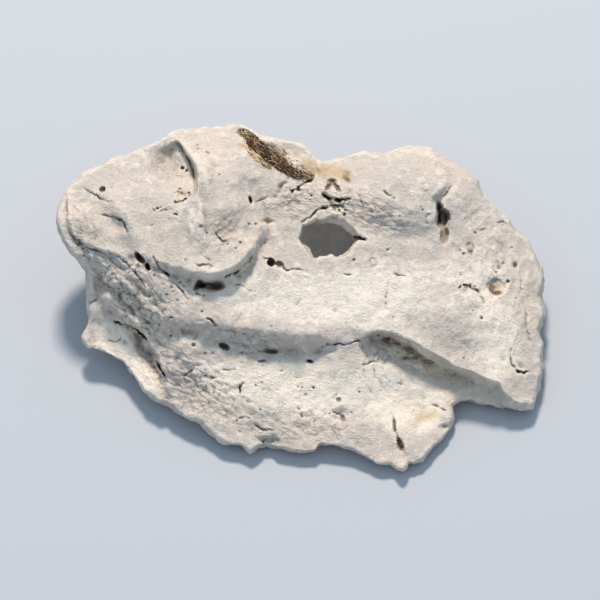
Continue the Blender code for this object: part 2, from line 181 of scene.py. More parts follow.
# the rock's broad form
rock = {
    "faceCentre": (0.0, 3.0),
    # edge of the face, clockwise from the tip of the head: across, up, height
    "outline": [
        (-81.7, 28.3, 33), (-81.2, 31.5, 34), (-79.0, 35.2, 35), (-77.2, 38.0, 36), (-73.5, 41.7, 37),
        (-67.3, 45.0, 38), (-60.0, 48.0, 39), (-50.0, 52.6, 40), (-44.0, 55.9, 40), (-33.0, 58.0, 40),
        (-23.0, 58.9, 39), (-19.3, 58.6, 39), (-13.3, 55.0, 37), (-8.3, 54.0, 37), (-2.0, 53.0, 37),
        (1.7, 51.3, 36), (5.7, 47.2, 35), (7.3, 46.4, 34), (10.7, 47.4, 33), (14.5, 48.3, 33),
        (22.3, 50.1, 33), (28.2, 48.6, 32), (31.0, 49.2, 32), (36.5, 51.2, 31), (44.5, 50.8, 31),
        (47.5, 48.8, 30), (56.2, 43.3, 28), (58.7, 40.9, 27), (61.3, 36.4, 26), (67.3, 29.5, 23),
        (70.3, 28.0, 21), (73.0, 23.2, 19), (76.6, 20.7, 17), (79.2, 15.2, 14), (82.5, 8.0, 12),
        (82.3, 4.8, 11), (80.9, 1.5, 11), (82.3, -5.0, 9), (80.7, -10.3, 8), (82.0, -15.7, 7),
        (81.0, -25.0, 5), (79.3, -32.0, 3), (77.7, -36.7, 2), (73.5, -37.6, 3), (68.7, -36.7, 5),
        (64.5, -33.8, 7), (57.5, -33.0, 5), (54.3, -33.6, 3), (51.0, -35.7, 2), (51.1, -39.8, 1.5),
        (49.8, -43.5, 1.2), (47.8, -46.3, 1.2), (43.3, -50.5, 1.2), (40.5, -53.5, 1.2),
        (38.0, -54.4, 1.5), (36.2, -54.4, 1.5), (35.9, -55.9, 1.2), (34.3, -57.1, 1.2),
        (32.3, -56.5, 1.2), (30.4, -54.2, 3.5), (25.3, -54.3, 4), (21.0, -51.5, 4), (18.0, -49.7, 4),
        (12.0, -48.8, 3.5), (7.0, -48.5, 3.5), (5.2, -50.7, 2), (1.8, -51.0, 2), (-4.0, -50.3, 2),
        (-11.5, -48.1, 1.5), (-14.2, -49.2, 1), (-16.8, -51.0, 1), (-19.5, -48.7, 2),
        (-24.5, -48.0, 2.5), (-32.7, -41.3, 3.5), (-39.3, -38.7, 3.5), (-45.7, -34.3, 3.5),
        (-48.3, -33.8, 4), (-52.7, -30.2, 6), (-56.2, -24.6, 7), (-59.7, -20.2, 8), (-66.0, -17.2, 9),
        (-71.1, -15.8, 10), (-73.0, -12.8, 10.5), (-71.0, -6.0, 11.5), (-71.3, 2.0, 14),
        (-71.6, 10.0, 20), (-75.3, 14.3, 26), (-79.2, 20.2, 30), (-81.0, 24.5, 32),
    ],
    # heights of the broad forms: across, up, height
    "heights": [
        (-81, 28, 37), (-77, 40, 39), (-60, 49, 41), (-40, 57, 42), (-20, 59, 42), (-4, 54, 40),
        (7, 47, 36), (22, 51, 37), (44, 51, 37), (56, 43, 33), (66, 31, 27.5), (78, 19, 20.5),
        (83, 4, 15), (82, -17, 10.5), (78, -36, 6), (66, -35, 9), (52, -38, 6), (43, -50, 5),
        (33, -57, 4), (16, -50, 6), (-4, -51, 5.5), (-24, -48, 6), (-40, -39, 7.5), (-54, -29, 9.5),
        (-72, -14, 12), (-71, -1, 19.3), (-73, 12, 29.5), (-63, 24, 39), (-57, 37, 42), (-40, 40, 44),
        (-26, 43, 45), (-26, 27, 42.5), (-33, 15, 38), (-55, 16, 35.5), (-17, 20, 37), (-6, 18, 32),
        (-8, 29, 35), (-6, 40, 39), (10, 36, 37), (33, 40, 40), (24, 23, 33.5), (50, 36, 36),
        (44, 21, 31), (10, 9, 29), (33, 10, 29), (57, 10, 26), (70, 0, 20), (50, -7, 23.5),
        (68, -22, 14), (0, -3, 25), (-23, -3, 26), (-48, -1, 26.8), (-60, 5.5, 29), (-17, -28, 12.8),
        (10, -27, 13.2), (-33, -30, 11), (-52, -18, 11.5), (33, -42, 8), (28, -23, 14), (42, -29, 10),
        (-60, -10, 14.3), (-65, -5, 17.2), (-35, -14, 20.4), (-46, -12, 18.9), (-41, -20, 16.4),
        (-52, 3, 29), (-43, -5, 25), (-54, -8.5, 18.5), (-60, 13, 34.5), (-67, 8, 27.5), (-40, -27, 12),
        (-30, -21, 16.2), (17, -20, 17.5), (33, -24, 13), (-14, -20, 15.3), (2, -20, 15.3),
    ],
    # ledges, higher side on the left: points (across, up, drop), step width, how far the ground
    # above and below takes to come back to the broad form, and the step's shape: 1 for a sharp
    # foot, -1 for a sharp brow
    "ledges": [
        ([(-54, 14, 1), (-44, 10.5, 4), (-36, 8, 6.5), (-30, 7, 8), (-23.5, 8.5, 8.5), (-19, 11.5, 8),
          (-15, 16.5, 7), (-12.5, 21, 5), (-12.5, 27, 3.5), (-16, 35, 1)], 4.2, 9, 8, 0.3),  # head
        ([(-57, 1, 0), (-52, -2.5, 2), (-46, -6, 1.6), (-41, -7.4, 2.6), (-36, -8.2, 3.0),
          (-31.7, -9.2, 4.4), (-26, -10.4, 6.6), (-20, -11.5, 7.6), (-14, -12.2, 8.2), (-8, -12.8, 8.4),
          (-1.7, -13.4, 7.8), (3.5, -13.6, 6.5), (8.3, -13.4, 4), (13, -13, 2.5), (17, -12.2, 1.5),
          (21, -11.4, 1)], 7.5, 14, 9, 0.8),  # bench
        ([(-73, 6.5, 0.5), (-70, 3.6, 1.2), (-66.5, 0.6, 2), (-61.5, -3.6, 2.8), (-58, -6.4, 3.6),
          (-55, -9.2, 4.6), (-52, -13.2, 5), (-49.5, -18, 5), (-47, -22.5, 4.5), (-45, -27.5, 3.5),
          (-43, -33, 2), (-41, -38, 0)], 2.8, 4, 5, 0.8),  # left step
        ([(19, -15, 0), (20.8, -14.3, 3), (23.7, -12.4, 6.5), (27.2, -11.6, 9), (31.7, -12.4, 10.5),
          (35.5, -14.2, 11), (38.7, -16, 11), (42, -18.8, 10.5), (45.7, -20.5, 10), (50.5, -23.3, 9.5),
          (56.9, -25.5, 8.5), (61.8, -27.4, 7.5), (65.5, -29.6, 6.5), (68, -33.3, 4.5), (71, -34.8, 3),
          (76, -36, 1)], 3.4, 8, 12, -0.8),  # scoop
        ([(-79, 36, 0), (-78.2, 31, 2), (-77, 24, 2.5), (-74.8, 20.5, 2.5), (-71.3, 18.7, 2.5),
          (-67, 16.7, 2), (-60, 14, 1)], 1.0, 5, 4, 0),  # lip of the head
        ([(-42, 54, 0), (-40.5, 52, 3), (-37.5, 48.5, 5), (-35.4, 45, 6.5), (-34.7, 41.5, 7),
          (-35, 37.5, 6), (-35.8, 34.5, 3.5), (-37, 32, 0)], 1.3, 6, 9, 0),  # crescent
        ([(-9, 32, 0), (-3, 32, 2), (4, 32.5, 3), (11, 31.5, 4), (19, 30, 4.5), (28, 27.5, 4.5),
          (37, 25, 4), (44, 23.5, 2.5), (52, 24, 0)], 13.0, 11, 9, 0),  # back slope
        ([(-73, 37, 1), (-68, 34, 3), (-63, 30.5, 4), (-60, 26, 4.5), (-57.5, 20.5, 4),
          (-55.7, 16, 2)], 6.0, 10, 9, -0.5),  # cheek of the head
        ([(7.5, 35.5, 0), (9, 34.5, 2), (11.5, 33, 3), (14, 32.6, 2.6), (17, 33.2, 0.5)], 0.8, 4, 4, 0),
        ([(-30.5, 18, 0.3), (-31.8, 22, 1.4), (-32.3, 28, 1.6), (-33, 34, 1.0),
          (-33.5, 38, 0)], 1.4, 4, 6, 0),
    ],
    # grooves: points (across, up, depth) and half width
    "grooves": [
        ([(-20, 57, 1.6), (-17, 54.5, 2.1), (-13, 51, 2.3), (-8, 47, 2.1), (-4, 43.5, 1.8),
          (0, 42, 1.3), (5, 41.5, 1.0), (9, 41, 0.4)], 4.2),
        ([(46.5, 33, 2.2), (48.6, 36, 1.4), (51, 40, 0.6), (53, 43, 0)], 3.0),
        ([(-17.7, 36.7, 1.5), (-15, 28.3, 2.5), (-12.7, 20, 2)], 6.0),
        ([(-66, 16, 0.5), (-60, 10, 1.2), (-52, 2, 1.2), (-46, -4, 0.5)], 2.0),
        ([(-66, 6, 0.3), (-58, -1, 1.2), (-50, -8, 0.8)], 2.2),
        ([(-57, -10.6, 0.5), (-54, -12.6, 2.2), (-52, -16, 2.2), (-50, -19.5, 2), (-47.8, -23.4, 1.4),
          (-45.5, -27, 0.4)], 2.8),
    ],
    # hollows, and lumps where the depth is below zero:
    # across, up, half width, half height, turn, depth
    "hollows": [
        (-43.0, 43.2, 9.0, 12, 6, 5.4), (-47, 47, 9.5, 7.5, 20, 1.8), (-24.5, 24, 11, 10.5, 0, 2.4),
        (-11.3, 26.3, 4, 1.8, 0, 2), (-67.5, 6, 5, 8, 0, 3), (35, -34, 17, 12, -10, 1.5),
        (60, -36, 11, 8, -5, 4.5), (13.3, -38.6, 5, 3.5, 0, 1.2), (-36, -10.6, 6, 2.6, -8, 1.8),
        (-10.7, -47, 5, 2.5, -8, 2.5), (73.3, -22, 3.5, 2, -25, 1.0), (56, 3.5, 3, 2, 0, 1),
        (48, -42.3, 3, 1.5, 20, 1.5), (-62.4, 25.6, 4.8, 4.0, -30, 1.1), (-31.7, 43, 4, 12, 10, -2),
        (-3, 50, 9, 5, -30, 1.5), (-9, 50.6, 5, 3, -35, 0.9), (33.7, -55.5, 3.5, 3.5, 0, -1.5),
    ],
    # steep-walled holes down the line of sight: across, up, half width, half height, turn, depth
    "holes": [
        (-66, 37, 1.0, 1.1, 0, 3), (-53.6, 14.0, 2.7, 1.3, -50, 7), (-50.9, 11.1, 1.7, 1.5, -60, 8),
        (-44.6, 8.8, 1.5, 1.1, -40, 5), (-33.4, 4.8, 2.2, 1.9, 20, 9), (-29.9, 4.4, 5.0, 2.2, 3, 7),
        (-9.4, 12.2, 1.6, 1.9, 10, 7), (-6.9, 11.7, 1.3, 1.3, 0, 2.5), (46.6, 30.8, 1.3, 2.2, 10, 8),
        (47.7, 27.2, 2.2, 3.9, -6, 10), (48.2, 21.6, 1.9, 3.0, 0, 2.4), (57.3, 17, 1.8, 2.3, 10, 0.9),
        (60.2, 18.2, 0.8, 0.7, 0, 1), (66.5, 12.6, 0.7, 0.9, 0, 1.4), (67, 10.6, 0.7, 0.6, 0, 1),
        (72, 11.7, 0.9, 1.3, 0, 2), (65.9, 4.4, 3.6, 3.0, 10, 1.1), (-25.2, -15.4, 2.6, 1.1, -22, 4),
        (-28.8, -17.7, 0.8, 0.6, 0, 2), (-9.8, -17.4, 3.1, 0.9, -8, 3.5),
        (3.3, -20.5, 2.1, 1.1, -22, 3.2), (-35.5, -14.9, 0.8, 0.8, 0, 1.5),
        (12.9, -33, 0.6, 0.9, 20, 2), (19, -47.8, 0.8, 0.7, 0, 1.2), (35.2, -19.7, 1.7, 0.7, 10, 2.4),
        (32.7, -15, 1.0, 0.8, 0, 2), (33.7, -48.3, 1.5, 2.4, 10, 1.0), (30.3, -10.9, 0.8, 0.7, 0, 2),
    ],
    "holeWall": 0.55,        # how far in from its edge a hole's wall reaches
    "pocketRim": [
        (-0.4, 20.7), (0.3, 22.5), (1.3, 24.8), (3.0, 25.9), (5.2, 27.0), (7.2, 26.9), (8.8, 27.8),
        (10.5, 28.4), (12.7, 28.2), (14.7, 27.0), (16.0, 25.7), (17.7, 24.2), (19.0, 22.0),
        (20.2, 20.7), (21.5, 20.1), (19.9, 19.8), (18.5, 19.0), (17.3, 17.7), (16.6, 16.2),
        (14.3, 14.3), (13.2, 13.9), (11.6, 14.0), (10.2, 14.9), (8.8, 14.3), (4.7, 13.7), (3.3, 15.4),
        (1.9, 17.3), (0.3, 18.7),
    ],
    # the rounded shelf inside the rim's upper right: points (across, up, depth)
    "shelf": [(1.8, 24.8, 0.3), (5.2, 26.6, 0.6), (8.5, 26.2, 0.7), (11.5, 25.9, 0.7), (14.0, 25.0, 0.7),
              (16.5, 23.2, 0.8), (19.4, 20.7, 0.8)],
    # the mouth follows the rim, but this edge stands in for the rim's points from the fifth on
    # to the fourteenth
    "mouthEdge": [(5.2, 26.6), (8.5, 26.2), (11.5, 25.9), (14.0, 25.0), (16.5, 23.2), (19.0, 21.0)],
    "mouthSplice": (4, 14),
    "mouthReach": (55.0, 20.0),     # heights that the mouth's cut runs between
    "mouthRings": 40,
    "shelfRound": 3.2,       # radius that the shelf rounds over with
    "pocketCentre": (10.0, 20.5, 20.0),
    "pocketRadii": (13.0, 10.0, 8.5),
    "pocketSpokes": 96,
    "pocketRings": 50,
    "patch": (46.0, 34.0),   # half width and half depth of the worn patch underneath
    "wander": (0.6, 4.0, 3), # how far the edges of ledges and holes stray, over what size; seed
    "roll": 0.35,            # how far in the edge is rounded, as a part of its drop
    "leastDrop": 0.5,        # least drop from the face to its edge
    "bulge": 0.2,            # how far the back overhangs its top edge, as a part of its height
    "tuck": 0.35,            # how far the foot of the sides is drawn in towards the patch
    "swell": 2.5,            # slow waves round the sides, five and nine to a turn
    "swellHeight": 20.0,     # height at which they are full
    "spokes": 1400,
    "faceRings": 330,
    "sideRings": 110,
    "grain": 0.4,            # cell that the skin is made again in
    "awayShare": 0.24,       # how much of the skin is kept away from the face
    "mostTriangles": 196000,
}


def undercut(spot, up):
    # 1 at the top of a hole or pit and less towards its foot, where the floor climbs out
    return 0.72 + 0.28 * np.clip((up - spot[1]) / spot[3], -1.0, 1.0)


def faceHeight(across, up):
    # broad sheet, plus each ledge as a sharp step less the same step taken slowly,
    # less grooves, hollows and holes
    height = sheetThrough(rock["heights"], across, up)
    for line, width, above, below, shape in rock["ledges"]:
        distance, drop = alongLine(line, across, up)
        step = stepUp(0.5 + distance / width, shape)
        height += drop * (step - ease((distance + below) / (above + below)))
    for line, width in rock["grooves"]:
        distance, depth = alongLine(line, across, up)
        height -= depth * (1.0 - ease(np.abs(distance) / width))
    for spot in rock["hollows"]:
        height -= spot[5] * (1.0 - ease(inEllipse(spot, across, up)))
    for spot in rock["holes"]:
        inside = (1.0 - inEllipse(spot, across, up)) * min(spot[2], spot[3]) / rock["holeWall"]
        height -= spot[5] * ease(inside) * undercut(spot, up)
    # the shelf: below the crust's edge, and rounding over into the pocket
    inside = insideLoop(rock["pocketRim"], across, up)
    distance, depth = alongLine(rock["shelf"], across, up)
    over = np.clip(1.0 - distance / rock["shelfRound"], 0.0, 1.0)
    height -= inside * (depth + rock["shelfRound"] * (1.0 - np.sqrt(1.0 - over ** 2)))
    return height


def toWorld(across, up, height):
    # slides each place of the face along the line of sight until it is at its height:
    # Y is up / sin(lean) less height / tan(lean), shifted back
    return across, up / math.sin(lean) - height / math.tan(lean) + depthShift, height


def toFace(points):
    # the inverse: where a world point shows on the leaning face
    return points[:, 0], (points[:, 1] - depthShift + points[:, 2] / math.tan(lean)) * math.sin(lean)


def rockSkin(angle, polar):
    # polar 0 to 1 runs over the face to its edge, where it rolls over like a quarter circle;
    # 1 to 1.5 curves down and in to the worn patch, an ellipse; 1.5 to 2 is the patch
    edge = np.array(rock["outline"])
    centreA, centreB = rock["faceCentre"]
    edgeAngle = np.arctan2(edge[:, 1] - centreB, edge[:, 0] - centreA)
    order = np.argsort(edgeAngle)
    edgeReach = np.hypot(edge[:, 0] - centreA, edge[:, 1] - centreB)
    reach = np.interp(angle, edgeAngle[order], edgeReach[order], period=2 * math.pi)
    edgeHeight = np.interp(angle, edgeAngle[order], edge[order, 2], period=2 * math.pi)

    out = np.minimum(polar, 1.0)
    across, up = centreA + np.cos(angle) * reach * out, centreB + np.sin(angle) * reach * out
    height = faceHeight(*ragged(across, up, *rock["wander"]))
    drop = np.maximum(height - edgeHeight, rock["leastDrop"])
    roll = np.clip(1.0 - (1.0 - out) * reach / (rock["roll"] * drop), 0.0, 1.0)
    height = height - drop * (1.0 - np.sqrt(1.0 - roll ** 2))
    x, y, z = toWorld(across, up, height)

    turn = np.arctan2(y / rock["patch"][1], x / rock["patch"][0])
    patchX, patchY = rock["patch"][0] * np.cos(turn), rock["patch"][1] * np.sin(turn)
    t = np.clip((polar - 1.0) / 0.5, 0.0, 1.0)
    start, lead, trail, end = (1 - t) ** 3, 3 * t * (1 - t) ** 2, 3 * t ** 2 * (1 - t), t ** 3
    pull = rock["bulge"] * z
    tuck = rock["tuck"]
    wave = rock["swell"] * np.sin(math.pi * t) ** 2 * ease(z / rock["swellHeight"]) * (
        np.sin(5.0 * angle + 1.0) + np.sin(9.0 * angle + 5.0 * t) - 1.0)
    sideX = ((start + lead) * x
             + trail * ((1.0 - tuck) * x + tuck * patchX) + end * patchX + wave * np.cos(turn))
    sideY = (start * y + lead * (y + pull / math.tan(lean))
             + trail * ((1.0 - tuck) * y + tuck * patchY) + end * patchY + wave * np.sin(turn))
    sideZ = start * z + lead * (z - pull) - end
    inward = 1.0 - np.clip((polar - 1.5) / 0.5, 0.0, 1.0)
    below = polar > 1.0
    return np.stack([np.where(below, sideX * inward, x), np.where(below, sideY * inward, y),
                     np.where(below, sideZ, z)], axis=-1)


def gridFaces(rows, columns):
    # corners of a closed skin's faces: quads between rings, then a fan of triangles to a pole
    # at each end, whose points come after those of the rings
    here = np.arange(columns)
    ahead = (here + 1) % columns
    row = np.arange(rows - 1)[:, None] * columns
    quads = np.stack([row + here, row + columns + here, row + columns + ahead, row + ahead], axis=-1)
    lastRow, pole = (rows - 1) * columns, rows * columns
    fans = np.concatenate([
        np.stack([np.full(columns, pole), here, ahead], axis=-1),
        np.stack([np.full(columns, pole + 1), lastRow + ahead, lastRow + here], axis=-1)])
    return quads.reshape(-1, 4), fans


def meshFromGrid(name, grid, firstPole, lastPole):
    # closed skin: rows of a ring each, with a pole at each end
    quads, fans = gridFaces(*grid.shape[:2])
    points = np.concatenate([grid.reshape(-1, 3), [firstPole, lastPole]]) * mm
    corners = np.concatenate([quads.ravel(), fans.ravel()])
    sizes = np.concatenate([np.full(len(quads), 4), np.full(len(fans), 3)])
    mesh = bpy.data.meshes.new(name)
    mesh.vertices.add(len(points))
    mesh.vertices.foreach_set("co", points.ravel())
    mesh.loops.add(len(corners))
    mesh.loops.foreach_set("vertex_index", corners)
    mesh.polygons.add(len(sizes))
    mesh.polygons.foreach_set("loop_start", np.append(0, np.cumsum(sizes)[:-1]))
    mesh.update(calc_edges=True)
    return mesh


def readVectors(things, name):
    # three numbers for each thing in a collection, such as a point's place or normal
    values = np.empty(len(things) * 3, dtype=np.float32)
    things.foreach_get(name, values)
    return values.reshape(-1, 3).astype(float)


def addPiece(name, mesh):
    piece = bpy.data.objects.new(name, mesh)
    bpy.context.scene.collection.objects.link(piece)
    return piece


def reshape(piece, kind, **settings):
    # a modifier of a kind, worked into the piece's mesh
    modifier = piece.modifiers.new(kind.lower(), kind)
    for name, setting in settings.items():
        setattr(modifier, name, setting)
    seen = piece.evaluated_get(bpy.context.evaluated_depsgraph_get())
    mesh = bpy.data.meshes.new_from_object(seen)
    piece.modifiers.clear()
    piece.data = mesh


def pocketMouth():
    # the mouth's outline carried down the line of sight into the hollow
    left, right = rock["mouthSplice"]
    loop = rock["pocketRim"][:left] + rock["mouthEdge"] + rock["pocketRim"][right:]
    loop = np.array(loop[::-1])
    height = np.linspace(*rock["mouthReach"], rock["mouthRings"])[:, None]
    x, y, z = toWorld(loop[None, :, 0], loop[None, :, 1], height)
    grid = np.stack(np.broadcast_arrays(x, y, z), axis=-1)
    return meshFromGrid("pocketMouth", grid, grid[0].mean(axis=0), grid[-1].mean(axis=0))


def pocketHollow():
    # an ellipsoid, longest across: rings at even falls from the top, even spokes round each
    angle = np.linspace(0.0, 2 * math.pi, rock["pocketSpokes"], endpoint=False)[None, :]
    fall = np.linspace(0.0, math.pi, rock["pocketRings"])[1:-1, None]
    unit = np.stack(np.broadcast_arrays(
        np.sin(fall) * np.cos(angle), np.sin(fall) * np.sin(angle), np.cos(fall)), axis=-1)
    centre = np.array(toWorld(*rock["pocketCentre"]))
    radii = np.array(rock["pocketRadii"])
    up = np.array([0.0, 0.0, 1.0])
    return meshFromGrid("pocketHollow", centre + unit * radii, centre + up * radii, centre - up * radii)


def rockBody():
    # the skin with the pocket cut out of it, made again as one even grid of cells
    angle = np.linspace(0.0, 2 * math.pi, rock["spokes"], endpoint=False)[None, :]
    polar = np.concatenate([np.linspace(0.0, 1.0, rock["faceRings"])[1:],
                            np.linspace(1.0, 2.0, rock["sideRings"])[1:-1]])[:, None]
    grid = rockSkin(*np.broadcast_arrays(angle, polar))
    firstPole = rockSkin(np.zeros(1), np.zeros(1))[0]
    piece = addPiece("holeyRock", meshFromGrid("holeyRock", grid, firstPole, [0.0, 0.0, -1.0]))
    print("rock: skin of", len(piece.data.vertices), "points")
    for mesh in (pocketMouth(), pocketHollow()):
        tool = addPiece(mesh.name, mesh)
        reshape(piece, "BOOLEAN", operation="DIFFERENCE", solver="MANIFOLD", object=tool)
        bpy.data.objects.remove(tool)
    reshape(piece, "REMESH", mode="VOXEL", voxel_size=rock["grain"] * mm)
    print("rock: made again with", len(piece.data.vertices), "points")
    return piece


